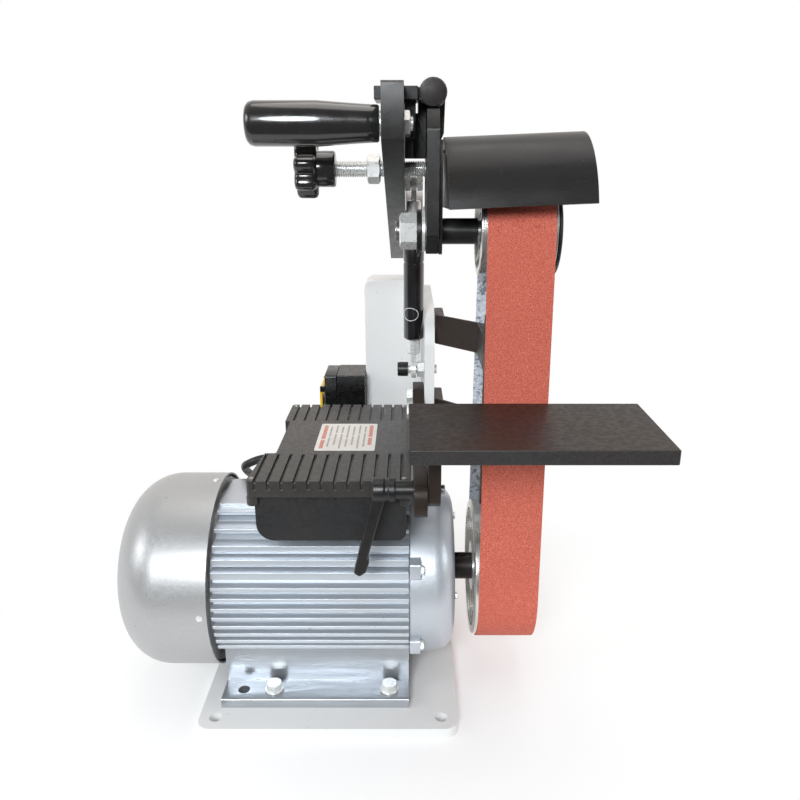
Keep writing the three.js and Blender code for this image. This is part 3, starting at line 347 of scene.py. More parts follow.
FINISH = {
    "white_powder_coat": powder_coat(),
    "silver_paint": silver_paint("silver_paint", (0.45, 0.455, 0.46)),
    # painted light: the frame's paint is a lighter, bluer copy of the silver paint, standing for the
    # bluish front light on the fins, drive endshield and lugs
    "lit_silver_paint": silver_paint("lit_silver_paint", (0.57, 0.61, 0.66)),
    "aluminium": extruded_aluminium(),
    "drive_wheel_metal": turned_aluminium("drive_wheel_metal", MOTOR_AXIS),
    "top_wheel_metal": turned_aluminium("top_wheel_metal", IDLER_AXIS),
    "steel": steel(),
    "core_steel": core_steel(),
    "dark_steel": dark_steel(),
    "table_steel": dark_steel("table_steel", span("work_table").y0),
    "zinc": zinc(),
    "black_paint": black_paint(),
    "gloss_black": gloss_black(),
    "tube_black": tube_black(),
    "guard_paint": guard_paint(),
    "box_plastic": grained_plastic("box_plastic", (0.016, 0.016, 0.017), (0.028, 0.027, 0.027)),
    # painted light: the lid's plastic is a lighter, warmer copy of the box plastic, standing for the
    # warm top light on the lid
    "lit_lid_plastic": grained_plastic("lit_lid_plastic", (0.034, 0.031, 0.029), (0.058, 0.053, 0.049), 0.38),
    "black_plastic": grained_plastic(
        "black_plastic", (0.003, 0.003, 0.003), (0.005, 0.005, 0.005), 0.3, 0.01
    ),
    "cable_rubber": grained_plastic("cable_rubber", (0.010, 0.010, 0.011), (0.022, 0.022, 0.022)),
    "abrasive": abrasive(),
    "belt_cloth": belt_cloth(),
    "yellow_plastic": bright_plastic("yellow_plastic", (0.83, 0.52, 0.02), (0.66, 0.36, 0.01)),
    "green_plastic": bright_plastic("green_plastic", (0.02, 0.30, 0.09), (0.01, 0.16, 0.05)),
    "red_plastic": bright_plastic("red_plastic", (0.60, 0.03, 0.02), (0.38, 0.01, 0.01)),
    "label_paper": label_paper(),
    "label_red": printed("label_red", (0.55, 0.12, 0.08), (0.72, 0.45, 0.38)),
    "label_grey": printed("label_grey", (0.32, 0.28, 0.26), (0.58, 0.54, 0.49)),
    "oval_white": printed("oval_white", (0.75, 0.75, 0.74), (0.55, 0.55, 0.55)),
}
SLOT_OF = {
    "drive_wheel_metal": "aluminium",
    "top_wheel_metal": "aluminium",
    "lit_silver_paint": "silver_paint",
    "table_steel": "dark_steel",
    "belt_cloth": "abrasive",
    "oval_white": "tube_black",
    **dict.fromkeys(("lit_lid_plastic", "label_paper", "label_red", "label_grey"), "box_plastic"),
}

# ---------- shapes: pairs of vertices and faces, in millimetres ----------


def place(axis, a, b, h):
    return {"x": (h, a, b), "y": (a, h, b), "z": (a, b, h)}[axis]


def at(value, turn):
    return value(turn) if callable(value) else value


def band(low, high, segments):
    faces = []
    for k in range(segments):
        n = (k + 1) % segments
        corners = [low[k % len(low)], low[n % len(low)], high[n % len(high)], high[k % len(high)]]
        faces.append(list(dict.fromkeys(corners)))
    return faces


def lathe(axis, profile, centre=(0, 0), segments=72):
    """A turned shape from (radius, height) pairs, either of which may be a function of the angle.
    It closes on itself unless it starts and ends on its axis."""
    verts, rings = [], []
    for radius, height in profile:
        count = segments if callable(radius) or radius > 0 else 1
        rings.append(range(len(verts), len(verts) + count))
        for k in range(count):
            turn = 2 * math.pi * k / segments
            r = at(radius, turn)
            a = centre[0] + r * math.cos(turn)
            b = centre[1] + r * math.sin(turn)
            verts.append(place(axis, a, b, at(height, turn)))
    pairs = [(low, high) for low, high in zip(rings, rings[1:]) if len(low) + len(high) > 2]
    if len(rings[0]) > 1:
        pairs.append((rings[-1], rings[0]))
    return verts, [face for low, high in pairs for face in band(low, high, segments)]


def rod(axis, radius, lo, hi, centre, chamfer=0.4, segments=48):
    r = radius - chamfer
    profile = [(0, lo), (r, lo), (radius, lo + chamfer), (radius, hi - chamfer), (r, hi), (0, hi)]
    return lathe(axis, profile, centre, segments)


def washer(axis, radius, bore, lo, hi, centre):
    c = 0.25
    outer = [(radius - c, lo), (radius, lo + c), (radius, hi - c), (radius - c, hi)]
    return lathe(axis, [(bore, lo), *outer, (bore, hi)], centre, 48)


def hexagon(axis, flats, lo, hi, centre, ends=(False, True), turn=0.0, bore=0.0):
    """A hexagon head or nut whose chosen ends have the usual round chamfer."""
    face = flats / 2
    flat_r = 0.475 * flats

    def reach(t):
        return face / math.cos((t + turn) % (math.pi / 3) - math.pi / 6)

    def drop(t):
        return (reach(t) - flat_r) * math.tan(math.radians(30))

    low = [(flat_r, lo), (reach, lambda t: lo + drop(t))] if ends[0] else [(reach, lo)]
    high = [(reach, lambda t: hi - drop(t)), (flat_r, hi)] if ends[1] else [(reach, hi)]
    return lathe(axis, [(bore, lo), *low, *high, (bore, hi)], centre, 60)


def thread(axis, radius, pitch, lo, hi, centre, segments=28):
    """A screw thread's skin over its core, cut down to the core at both ends."""
    depth = 0.6 * pitch
    crest = (0, 0, depth, depth)
    rows = int(4 * (hi - lo) / pitch)
    verts, faces = [], []
    for i in range(rows):
        for k in range(segments):
            turn = 2 * math.pi * k / segments
            h = lo + (i / 4 + k / segments) * pitch
            spare = max(0.0, min(h - lo, hi - h))
            r = min(radius - crest[i % 4], radius - depth + spare)
            a, b = centre[0] + r * math.cos(turn), centre[1] + r * math.sin(turn)
            verts.append(place(axis, a, b, min(h, hi)))
            last = k == segments - 1
            near, far = (i + 4) * segments if last else i * segments + k + 1, segments
            if near + far < rows * segments:
                faces.append([i * segments + k, near, near + far, (i + 1) * segments + k])
    core = rod(axis, radius - depth + 0.05, lo, hi, centre, 0.3, segments)
    return merge((verts, faces), core)


def rounded(outline, steps=6):
    """Outline points (a, b) or (a, b, corner radius), with the corners rounded."""
    out = []
    for i, (a, b, *corner) in enumerate(outline):
        point = Vector((a, b))
        if not corner:
            out.append(point)
            continue
        back = (Vector(outline[i - 1][:2]) - point).normalized()
        ahead = (Vector(outline[(i + 1) % len(outline)][:2]) - point).normalized()
        half = back.angle(ahead) / 2
        centre = point + (back + ahead).normalized() * corner[0] / math.sin(half)
        start = point + back * corner[0] / math.tan(half) - centre
        sweep = start.angle_signed(point + ahead * corner[0] / math.tan(half) - centre)
        for k in range(steps + 1):
            out.append(centre + Matrix.Rotation(-sweep * k / steps, 2) @ start)
    return out


def prism(axis, outline, lo, hi):
    points = rounded(outline)
    n = len(points)
    verts = [place(axis, a, b, h) for h in (lo, hi) for a, b in points]
    sides = [[k, (k + 1) % n, n + (k + 1) % n, n + k] for k in range(n)]
    return verts, [list(range(n)), list(range(n, 2 * n)), *sides]


def rectangle(a0, a1, b0, b1, *corner):
    return [(a, b, *corner) for a, b in ((a0, b0), (a1, b0), (a1, b1), (a0, b1))]


def block(x0, x1, y0, y1, z0, z1):
    return prism("z", rectangle(x0, x1, y0, y1), z0, z1)


def merge(*shapes):
    verts, faces = [], []
    for more, loops in shapes:
        faces += [[v + len(verts) for v in loop] for loop in loops]
        verts += more
    return verts, faces


def moved(shape, matrix):
    return [tuple(matrix @ Vector(v)) for v in shape[0]], shape[1]


def turned_by(shape, angle, centre):
    """A shape turned about X round centre."""
    spot = Matrix.Translation(centre)
    return moved(shape, spot @ Matrix.Rotation(angle, 4, "X") @ spot.inverted())


def curve_through(points, per_span=12):
    """A centripetal Catmull-Rom curve through points."""
    inner = [Vector(v) for v in points]
    p = [2 * inner[0] - inner[1], *inner, 2 * inner[-1] - inner[-2]]
    out = []
    for a, b, c, d in zip(p, p[1:], p[2:], p[3:]):
        knots = [0.0]
        for start, end in ((a, b), (b, c), (c, d)):
            knots.append(knots[-1] + math.sqrt((end - start).length))
        t0, t1, t2, t3 = knots
        for k in range(per_span):
            t = t1 + (t2 - t1) * k / per_span
            ab, bc = a.lerp(b, t / t1), b.lerp(c, (t - t1) / (t2 - t1))
            cd = c.lerp(d, (t - t2) / (t3 - t2))
            abc, bcd = ab.lerp(bc, (t - t0) / (t2 - t0)), bc.lerp(cd, (t - t1) / (t3 - t1))
            out.append(abc.lerp(bcd, (t - t1) / (t2 - t1)))
    return [*out, inner[-1]]


def sweep(path, radius, segments=16):
    """A round tube along a path of points, closed at both ends."""
    verts, rings = [], []
    side = Vector((0, 0, 1))
    for i, point in enumerate(path):
        along = (path[min(i + 1, len(path) - 1)] - path[max(i - 1, 0)]).normalized()
        side = (side - along * side.dot(along)).normalized()
        other = along.cross(side)
        rings.append(range(len(verts), len(verts) + segments))
        for k in range(segments):
            turn = 2 * math.pi * k / segments
            verts.append(tuple(point + radius * (side * math.cos(turn) + other * math.sin(turn))))
    faces = [f for low, high in zip(rings, rings[1:]) for f in band(low, high, segments)]
    return verts, [*faces, list(rings[0]), list(rings[-1])]


# ---------- objects ----------


def in_scene(name, data):
    obj = bpy.data.objects.new(name, data)
    bpy.context.scene.collection.objects.link(obj)
    return obj


def solid(name, *shapes):
    verts, faces = merge(*shapes)
    mesh = bpy.data.meshes.new(name)
    mesh.from_pydata([Vector(v) * MM for v in verts], [], faces)
    tidy(mesh)
    return in_scene(name, mesh)


def tidy(mesh, flatten=False):
    bm = bmesh.new()
    bm.from_mesh(mesh)
    bmesh.ops.remove_doubles(bm, verts=bm.verts, dist=0.005 * MM)
    if flatten:
        flat = math.radians(0.5)
        bmesh.ops.dissolve_limit(bm, angle_limit=flat, verts=bm.verts, edges=bm.edges)
    bmesh.ops.recalc_face_normals(bm, faces=bm.faces)
    bm.to_mesh(mesh)
    bm.free()


def carve(obj, *shapes):
    """Cuts shapes out of an object."""
    tool = solid("tool", *shapes)
    cutter = obj.modifiers.new("carve", "BOOLEAN")
    cutter.operation = "DIFFERENCE"
    cutter.solver = "EXACT"
    cutter.object = tool
    bpy.context.view_layer.update()
    result = obj.evaluated_get(bpy.context.evaluated_depsgraph_get())
    mesh = bpy.data.meshes.new_from_object(result)
    obj.modifiers.clear()
    obj.data = mesh
    bpy.data.objects.remove(tool)
    return obj


def edges(obj, width=0.0, segments=2, angle=30):
    """Smooth shading, with the sharp edges rounded where width is given."""
    obj.data.shade_smooth()
    if not width:
        obj.data.set_sharp_from_angle(angle=math.radians(angle))
        return obj
    bevel = obj.modifiers.new("bevel", "BEVEL")
    bevel.width = width * MM
    bevel.segments = segments
    bevel.limit_method = "ANGLE"
    bevel.angle_limit = math.radians(angle)
    bevel.harden_normals = True
    return obj


def show(obj, finish, *nodes, body=None):
    """Gives a piece its material and body; it stands for the CAD nodes named."""
    obj.data.materials.clear()
    obj.data.materials.append(FINISH[finish])
    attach(obj, body or (BODY[nodes[0]] if nodes else "stand"))
    if nodes:
        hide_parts(*nodes)
    return obj


def piece(name, finish, shapes, *nodes, body=None, **rounding):
    """A visible piece made from shapes, with its edges rounded."""
    return show(edges(solid(name, *shapes), **rounding), finish, *nodes, body=body)


def dress(node, finish, width=0.5, segments=2):
    """A CAD node's own shape with its coplanar faces joined and its edges rounded."""
    mesh = frame["nodes"][node].data.copy()
    obj = in_scene(f"{node}_shell", mesh)
    if mesh.has_custom_normals:
        mesh.attributes.remove(mesh.attributes["custom_normal"])
    tidy(mesh, flatten=True)
    mesh.name = obj.name
    edges(obj, width, segments)
    return show(obj, finish, node)


# ---------- base and upright ----------


def build_base():
    s = span("base_plate")
    corner = 12
    outline = rectangle(s.x0, s.x1, s.y0, s.y1, corner)
    plate = solid("base_plate_body", prism("z", outline, s.z0, s.z1))
    inset, radius = 14, 5.3
    hole = [(0, s.z0 - 1), (radius, s.z0 - 1), (radius, s.z1 + 1), (0, s.z1 + 1)]
    for x in (s.x0 + inset, s.x1 - inset):
        for y in (s.y0 + inset, s.y1 - inset):
            carve(plate, lathe("z", hole, (x, y), 40))
    show(edges(plate, 1.0, 3), "white_powder_coat", "base_plate")


def build_upright():
    build_base()
    for node in ("side_plate", "rear_column", "pivot_ear"):
        dress(node, "white_powder_coat", 0.9, 3)


# ---------- motor ----------

# rows of fins by height from the motor's axis: lowest, pitch, thickness, count
FIN_ROWS = ((-39.4, 8.65, 3.4, 8), (31.2, 9, 6.8, 3), (60.5, 9.6, 4.2, 2))
FIN_REACH = 79.9
TUBE_OUTER = 72


def fin(side, z, half):
    """One cooling fin, thinner at its rounded tip."""
    y, axis_z = MOTOR_AXIS
    root = math.sqrt(max(TUBE_OUTER**2 - (abs(z) + half) ** 2, 0)) - 2
    tip = math.sqrt(FIN_REACH**2 - (abs(z) + half) ** 2)
    slim = half * 0.94
    points = [(root, -half * 1.1), (tip, -slim, 0.5), (tip, slim, 0.5), (root, half * 1.1)]
    s = span("motor_frame")
    outline = [(y + side * p[0], axis_z + z + p[1], *p[2:]) for p in points]
    return prism("x", outline, s.x0, s.x1)


def build_motor_frame():
    s = span("motor_frame")
    bore, crown = 66, 26
    tube = [(bore, s.x0), (TUBE_OUTER, s.x0), (TUBE_OUTER, s.x1), (bore, s.x1)]
    shapes = [lathe("x", tube, MOTOR_AXIS, 144)]
    for lowest, pitch, thick, count in FIN_ROWS:
        for i in range(count):
            shapes += [fin(side, lowest + i * pitch, thick / 2) for side in (-1, 1)]
    y, z = MOTOR_AXIS
    shapes.append(block(s.x0, s.x1, y - crown, y + crown, z + 68, z + 75))
    piece("motor_frame_fins", "lit_silver_paint", shapes, "motor_frame", width=0.35)


def build_drive_endshield():
    s = span("drive_endshield")
    r, knee, curve = 75, 89, 18
    outer = [(r - 1, s.x0), (r, s.x0 + 1), (r, knee)]
    for i in range(1, 9):
        a = i * math.pi / 18
        outer.append((r - curve + curve * math.cos(a), knee + curve * math.sin(a)))
    ring = [(43, 106.9), (43, 105.6), (40, 105.6), (40, 106.9), (32, 106.9), (32, s.x1), (12.3, s.x1)]
    inner = [(12.3, 84), (26, 84), (26, 101), (r - curve, 101), (r - 6, knee), (r - 6, s.x0)]
    cup = lathe("x", [*outer, *ring, *inner], MOTOR_AXIS, 144)
    piece("drive_endshield_cup", "lit_silver_paint", [cup], "drive_endshield", width=0.5)
    build_endshield_lugs(s)


def build_endshield_lugs(s):
    y, z = MOTOR_AXIS
    lugs, bolts = [], []
    for side in (-1, 1):
        for top in (1, -1):
            a, b = y + side * 57, y + side * 75
            low, high = z + top * 29, z + top * 43
            outline = [(a, low), (b, low, 2), (b - side, high, 2), (a, high)]
            lugs.append(prism("x", outline, s.x0 + GAP, s.x0 + 9.4))
            spot = (y + side * 70.5, z + top * 36)
            bolts.append(washer("x", 4.6, 1, s.x0 + 9.2, s.x0 + 10, spot))
            bolts.append(hexagon("x", 7, s.x0 + 9.6, s.x0 + 12.2, spot))
    for side in (-1, 1):
        for spot in ((y, z + side * 51), (y + side * 51, z)):
            bolts.append(hexagon("x", 5.5, s.x1 - 1, s.x1 + 1.5, spot))
    piece("endshield_lugs", "lit_silver_paint", lugs, width=0.5)
    piece("endshield_bolts", "zinc", bolts)


def cowl_profile(s, offset):
    """The cowl's section from its open rim over the dome to the axis."""
    radius, flat, knee = (s.z1 - s.z0) / 2, 40, -141
    reach = knee - s.x0 - offset
    points = [(radius - offset, s.x1), (radius - offset, knee)]
    for i in range(1, 19):
        a = i * math.pi / 36
        points.append((flat + (radius - flat - offset) * math.cos(a), knee - reach * math.sin(a)))
    return points


def build_fan_cowl():
    s = span("fan_cowl")
    sheet = 1.6
    outer = [*cowl_profile(s, 0), (0.0, s.x0)]
    inner = [(0.0, s.x0 + sheet), *reversed(cowl_profile(s, sheet))]
    cowl = solid("fan_cowl_skin", lathe("x", [*outer, *inner], MOTOR_AXIS, 128))
    y, z = MOTOR_AXIS
    half, low, high = 2.6, 14, 36
    outline = rectangle(y - half, y + half, z + low, z + high, 2.4)
    slot = prism("x", outline, s.x0 - 5, s.x0 + 14)
    carve(cowl, *(turned_by(slot, i * math.pi / 6, (0, y, z)) for i in range(12)))
    show(edges(cowl, 0.3, 2, 40), "silver_paint", "fan_cowl")
    build_cowl_screws(s)


def build_cowl_screws(s):
    y, z = MOTOR_AXIS
    top = s.z1
    head = [(0, top - 2), (2.8, top - 2), (2.8, top), (2.4, top + 0.6), (0, top + 1)]
    screw = lathe("z", head, (s.x1 - 6, y), 32)
    shapes = [turned_by(screw, math.radians(a), (0, y, z)) for a in (0, 90, 165, 270)]
    piece("cowl_screws", "zinc", shapes)


def build_feet():
    for node in ("motor_foot_front", "motor_foot_rear"):
        dress(node, "aluminium", 0.7, 3)
    for row in ("front", "rear"):
        for i in (1, 2):
            node = f"foot_bolt_{row}_{i}"
            s = span(node)
            spot = ((s.x0 + s.x1) / 2, (s.y0 + s.y1) / 2)
            seat = s.z1 - 7
            shapes = [
                rod("z", 4, s.z0, seat + 1, spot),
                washer("z", 8, 4, seat, seat + 1.6, spot),
                hexagon("z", 13, seat + 1.6, s.z1, spot, turn=0.3 * i),
            ]
            piece(f"{node}_hex", "zinc", shapes, node)


def build_shaft():
    s = span("motor_shaft")
    y, z = MOTOR_AXIS
    shaft = solid("motor_shaft_bar", rod("x", 12, s.x0, s.x1, MOTOR_AXIS, 1.0, 64))
    carve(shaft, block(110, s.x1 + 1, y - 4, y + 4, z + 8, z + 13))
    show(edges(shaft), "dark_steel", "motor_shaft")
    key = block(128, s.x1 - 4, y - 3.9, y + 3.9, z + 8.2, z + 14.9)
    piece("shaft_key", "dark_steel", [key], body="motor_rotor", width=0.4)


def build_drive_wheel():
    s = span("drive_wheel")
    r, rim, hub, bore = (s.z1 - s.z0) / 2, 53.5, 22, 12.3
    profile = [
        (bore, s.x0 + 1), (hub, s.x0 + 1), (hub, s.x0 + 12), (30, s.x0 + 14), (rim - 6, s.x0 + 14),
        (rim, s.x0 + 9), (rim, s.x0), (r - 1.2, s.x0), (r, s.x0 + 1.2), (r, s.x1 - 1.2), (r - 1.2, s.x1),
        (rim, s.x1), (rim, s.x1 - 9), (rim - 6, s.x1 - 14), (30, s.x1 - 14), (hub, s.x1 - 12),
        (hub, s.x1 - 4), (bore, s.x1 - 4),
    ]
    wheel = lathe("x", profile, MOTOR_AXIS, 160)
    piece("drive_wheel_turned", "drive_wheel_metal", [wheel], "drive_wheel", width=0.4)
    b = span("wheel_bolt")
    seat = s.x1 - 4 + GAP
    shapes = [
        rod("x", 4, b.x0, seat + 1, MOTOR_AXIS),
        washer("x", 15, 4, seat, seat + 2.5, MOTOR_AXIS),
        hexagon("x", 13, seat + 2.5, b.x1, MOTOR_AXIS),
    ]
    piece("wheel_bolt_hex", "zinc", shapes, "wheel_bolt")


def build_motor():
    build_motor_frame()
    build_drive_endshield()
    dress("fan_endshield", "silver_paint", 0.4)
    build_fan_cowl()
    build_feet()
    build_shaft()
    build_drive_wheel()
    dress("stator_core", "core_steel", 0.3)
    dress("rotor_core", "core_steel", 0.3)
    dress("cooling_fan", "black_plastic", 0.4)


# ---------- terminal box ----------


# the box and its lid are narrower on the left behind the lid's front block
LID_BAND_Y = (-88, -8)
LID_BAND_X0 = -42.5
LID_REAR_X0 = -47.4
BOX_REAR_X0 = -46.5


def build_terminal_box():
    s = span("terminal_box")
    front = [(s.x0, s.z1), (s.x1, s.z1), (s.x1, s.z0, 7), (s.x0, s.z0, 14)]
    box = solid("terminal_box_shell", prism("y", front, s.y0, s.y1))
    saddle = [(0, s.x0 - 1), (81, s.x0 - 1), (81, s.x1 + 1), (0, s.x1 + 1)]
    step = block(s.x0 - 1, BOX_REAR_X0, LID_BAND_Y[0], s.y1 + 1, s.z0 - 1, s.z1 + 1)
    carve(box, step)
    carve(box, lathe("x", saddle, MOTOR_AXIS, 144))
    show(edges(box, 1.6, 4), "box_plastic", "terminal_box")


def groove(x, y0, y1, lip, lid):
    """A groove tool along Y that also runs down the lid's end face at lip."""
    deep, wrap, half = 2.4, 7.5, 1.1
    end = lip - 2 if lip < 0 else lip + 2
    skin = lip + 1.3 if lip < 0 else lip - 1.3
    inner = y1 if lip < 0 else y0
    outline = [
        (inner, lid.z1 + 2), (inner, lid.z1 - deep), (skin, lid.z1 - deep),
        (skin, lid.z1 - wrap), (end, lid.z1 - wrap), (end, lid.z1 + 2),
    ]
    return prism("x", outline, x - half, x + half)


def build_terminal_lid():
    s = span("terminal_lid")
    near, far = LID_BAND_Y
    outline = [
        (s.x0, s.y0, 3), (s.x1, s.y0, 3), (s.x1, s.y1, 3), (LID_REAR_X0, s.y1, 3), (LID_REAR_X0, far, 1),
        (LID_BAND_X0, far, 2), (LID_BAND_X0, near, 2), (s.x0 + 5, near, 1),
    ]
    lid = solid("terminal_lid_shell", prism("z", outline, s.z0, s.z1))
    count = 12
    pitch = (s.x1 - s.x0 - 14) / (count - 1)
    tools = []
    for i in range(count):
        x = s.x0 + 7 + i * pitch
        tools.append(groove(x, s.y0, near - 2, s.y0, s))
        if x > LID_REAR_X0 + 3:
            tools.append(groove(x, far + 2, s.y1, s.y1, s))
    carve(lid, *tools)
    show(edges(lid, 0.45, 2), "lit_lid_plastic", "terminal_lid")
    build_lid_trim(s)


def build_lid_trim(s):
    posts, screws = [], []
    head = [(0, s.z1 - 0.5), (2.1, s.z1 - 0.5), (2.1, s.z1 + 0.1), (1.6, s.z1 + 0.5), (0, s.z1 + 0.6)]
    for y, left in ((s.y0 + 5, s.x0 + 4), (s.y1 - 5, LID_REAR_X0 + 4)):
        for x in (left, s.x1 - 5):
            posts.append(rod("z", 4.6, s.z0 - 8, s.z0 - 0.1, (x, y), 0.8))
            screws.append(lathe("z", head, (x, y), 32))
    piece("lid_screw_posts", "lit_lid_plastic", posts)
    piece("lid_screws", "steel", screws)
    build_label(s)


def build_label(s):
    x0, x1, y0, y1 = -11.8, 39, -83, -16
    top = s.z1 + 0.15
    sheet = prism("z", rectangle(x0, x1, y0, y1, 2), s.z1, top)
    piece("rating_label", "label_paper", [sheet])
    red, grey = [], []
    columns = 9
    for i in range(columns):
        x = x0 + 5 + i * (x1 - x0 - 10) / (columns - 1)
        ink = red if i in (0, columns - 1) else grey
        half = 1.7 if i in (0, columns - 1) else 0.8
        near, far = y0 + 5 + 4 * (i % 3), y1 - 5 - 3 * (i % 2)
        split = near + (far - near) * (0.35 + 0.1 * (i % 4))
        ink.append(block(x - half, x + half, near, split, top, top + 0.05))
        ink.append(block(x - half, x + half, split + 2.5, far, top, top + 0.05))
    show(solid("label_red_bars", *red), "label_red")
    show(solid("label_grey_bars", *grey), "label_grey")


CABLE = [
    (-42, -27, 197), (-66, -27, 196), (-80, -24, 190), (-88, -6, 178), (-84, 30, 152),
    (-62, 66, 130), (-26, 92, 128), (-1, 102, 144), (5, 103, 175),
]


def build_terminal():
    build_terminal_box()
    build_terminal_lid()
    dress("start_capacitor", "aluminium", 0.6)
    piece("motor_cable_sheath", "cable_rubber", [sweep(curve_through(CABLE), 3.7)], "motor_cable")


# ---------- belt, wheels and platen ----------


def belt_line(off):
    """The belt's line round both wheels, with its straight runs divided so that they can bend."""
    low, high = Vector(MOTOR_AXIS), Vector(IDLER_AXIS)
    big, small = 60.5, 33.5
    along = high - low
    lean = math.atan2(along.y, along.x)
    open_angle = math.acos((big - small) / along.length)
    points = []

    def arc(centre, radius, start, end, steps):
        for i in range(steps):
            a = start + (end - start) * i / (steps - 1)
            points.append(centre + radius * Vector((math.cos(a), math.sin(a))))

    def run(end, steps):
        start = points[-1]
        points.extend(start.lerp(end, i / steps) for i in range(1, steps))

    arc(high, small + off, lean - open_angle, lean + open_angle, 49)
    turn = lean + open_angle
    run(low + (big + off) * Vector((math.cos(turn), math.sin(turn))), 40)
    arc(low, big + off, turn, lean + 2 * math.pi - open_angle, 65)
    run(points[0], 40)
    return points


BELT_X = (125.55, 175.55)
BELT_RUN_OFF = -0.0072
BELT_SQUARE_Z = 294


def build_belt():
    outer, inner = belt_line(1.3), belt_line(0.3)
    n = len(outer)
    verts = [
        (x + BELT_RUN_OFF * (p.y - BELT_SQUARE_Z), p.x, p.y)
        for line in (outer, inner)
        for x in BELT_X
        for p in line
    ]
    faces, cloth = [], []
    for i in range(n):
        j = (i + 1) % n
        faces.append([i, j, n + j, n + i])
        faces.append([i, j, 2 * n + j, 2 * n + i])
        faces.append([n + i, n + j, 3 * n + j, 3 * n + i])
        cloth.append([2 * n + i, 2 * n + j, 3 * n + j, 3 * n + i])
    belt = solid("abrasive_belt_loop", (verts, [*faces, *cloth]))
    edges(belt, angle=40)
    show(belt, "abrasive", "abrasive_belt")
    belt.data.materials.append(FINISH["belt_cloth"])
    low, high = Vector(MOTOR_AXIS), Vector(IDLER_AXIS)
    for face in belt.data.polygons:
        spot = Vector((face.center.y, face.center.z)) / MM
        t = max(0, min(1, (spot - low).dot(high - low) / (high - low).length_squared))
        core = low.lerp(high, t)
        outward = Vector((face.normal.y, face.normal.z)).dot(spot - core)
        if abs(face.normal.x) < 0.5 and outward < 0:
            face.material_index = 1
    belt.parent = None
    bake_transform(belt)


def build_top_wheel():
    s = span("top_wheel")
    r, rim, seat = (s.z1 - s.z0) / 2, 28.5, 17.3
    profile = [
        (seat, s.x0 + 3), (rim - 4, s.x0 + 3), (rim - 2, s.x0 + 1.5), (rim, s.x0), (r - 0.8, s.x0),
        (r, s.x0 + 0.8), (r, s.x1 - 3.4), (r - 0.6, s.x1 - 2.8), (seat, s.x1 - 2.8),
    ]
    wheel = lathe("x", profile, IDLER_AXIS, 128)
    piece("top_wheel_turned", "top_wheel_metal", [wheel], "top_wheel", width=0.3)
    section = [(0, 2.6), (r - 1, 2.6), (r, 2), (r, 0.8), (r - 0.8, 0), (0, 0)]
    cap = [(radius, s.x1 - back) for radius, back in section]
    piece("top_wheel_cap", "black_paint", [lathe("x", cap, IDLER_AXIS, 96)], body="idler")
    build_bearing()


def build_bearing():
    s = span("idler_bearing")
    shapes = []
    for lo in (s.x0, s.x1 - 12):
        hi = lo + 12
        shapes.append(washer("x", 17, 14, lo, hi, IDLER_AXIS))
        shapes.append(washer("x", 10.8, 8.3, lo, hi, IDLER_AXIS))
    shapes.append(washer("x", 12, 8.4, s.x0 + 12.1, s.x1 - 12.1, IDLER_AXIS))
    piece("idler_bearing_rings", "steel", shapes, "idler_bearing")
    shields = [washer("x", 13.9, 10.9, lo, lo + 0.6, IDLER_AXIS) for lo in (s.x0 + 0.5, s.x1 - 1.1)]
    piece("bearing_shields", "black_plastic", shields, body="idler")


def build_axle():
    s = span("axle")
    bar = rod("x", 8, s.x0 + 16, s.x1, IDLER_AXIS)
    end = thread("x", 8, 2.0, s.x0, s.x0 + 18, IDLER_AXIS)
    piece("axle_bar", "steel", [bar, end], "axle")
    n = span("axle_nut")
    shapes = [
        hexagon("x", 24, n.x0, n.x0 + 13, IDLER_AXIS, (True, False), turn=math.pi / 6, bore=8.2),
        washer("x", 15.5, 8.3, n.x0 + 16.8, n.x1, IDLER_AXIS),
    ]
    piece("axle_nut_hex", "zinc", shapes, "axle_nut")
    disc = washer("x", 16.5, 8.3, n.x0 + 13, n.x0 + 16.7, IDLER_AXIS)
    piece("axle_disc", "black_paint", [disc], body=BODY["axle_nut"], width=0.4)
    w = span("wheel_spacer")
    profile = [(8.3, w.x0), (9.8, w.x0), (9.8, w.x1), (8.3, w.x1)]
    spacer = lathe("x", profile, IDLER_AXIS, 64)
    piece("wheel_spacer_turned", "black_paint", [spacer], "wheel_spacer", width=0.5)


def build_belt_side():
    build_belt()
    build_top_wheel()
    build_axle()
    dress("platen", "dark_steel", 0.5)
    dress("platen_bracket_upper", "dark_steel", 0.8)
    dress("platen_bracket_lower", "dark_steel", 0.8)
    dress("guard", "guard_paint", 0.6, 2)


# ---------- work table ----------


def build_table():
    dress("table_arm", "dark_steel", 0.8, 3)
    dress("table_bracket", "dark_steel", 0.8, 3)
    dress("work_table", "table_steel", 0.8, 3)
    for node in ("table_arm_bolt_lower", "table_arm_bolt_upper"):
        s = span(node)
        spot = middle(node)
        head = hexagon("x", 13, s.x0, s.x0 + 5.3, spot, (True, False))
        shank = rod("x", 4, s.x0 + 4, s.x1, spot)
        piece(f"{node}_hex", "zinc", [head, shank], node)
    build_clamp_lever()


def build_clamp_lever():
    s = span("clamp_lever")
    spot = (-157, 224)
    x0 = 40
    hub = [(0, x0), (7.6, x0), (9, x0 + 1.5), (9.15, x0 + 9), (8.4, x0 + 10), (8.4, x0 + 12)]
    hub += [(9.15, x0 + 13), (9.15, 57.3), (7, 57.6), (7, 71), (0, 71)]
    stud = thread("x", 4, 1.25, 82, s.x1, spot)
    neck = rod("x", 4, 70, 83, spot)
    piece("clamp_lever_hub", "black_paint", [lathe("x", hub, spot, 64)], "clamp_lever", width=0.3)
    piece("clamp_lever_stud", "steel", [stud, neck], body="clamp")
    outline = [(25.4, 156, 2), (29.9, 152.8, 2), (34.7, 156.5, 2), (37.4, 164.6, 2), (36.2, 168, 2)]
    outline += [(50.8, 220, 3), (50.8, 229, 2), (41, 229, 2), (40.2, 219, 4)]
    blade = prism("y", outline, spot[0] - 4.8, spot[0] + 4.8)
    piece("clamp_lever_blade", "black_paint", [blade], body="clamp", width=1.6, segments=4)


# ---------- tension lever ----------


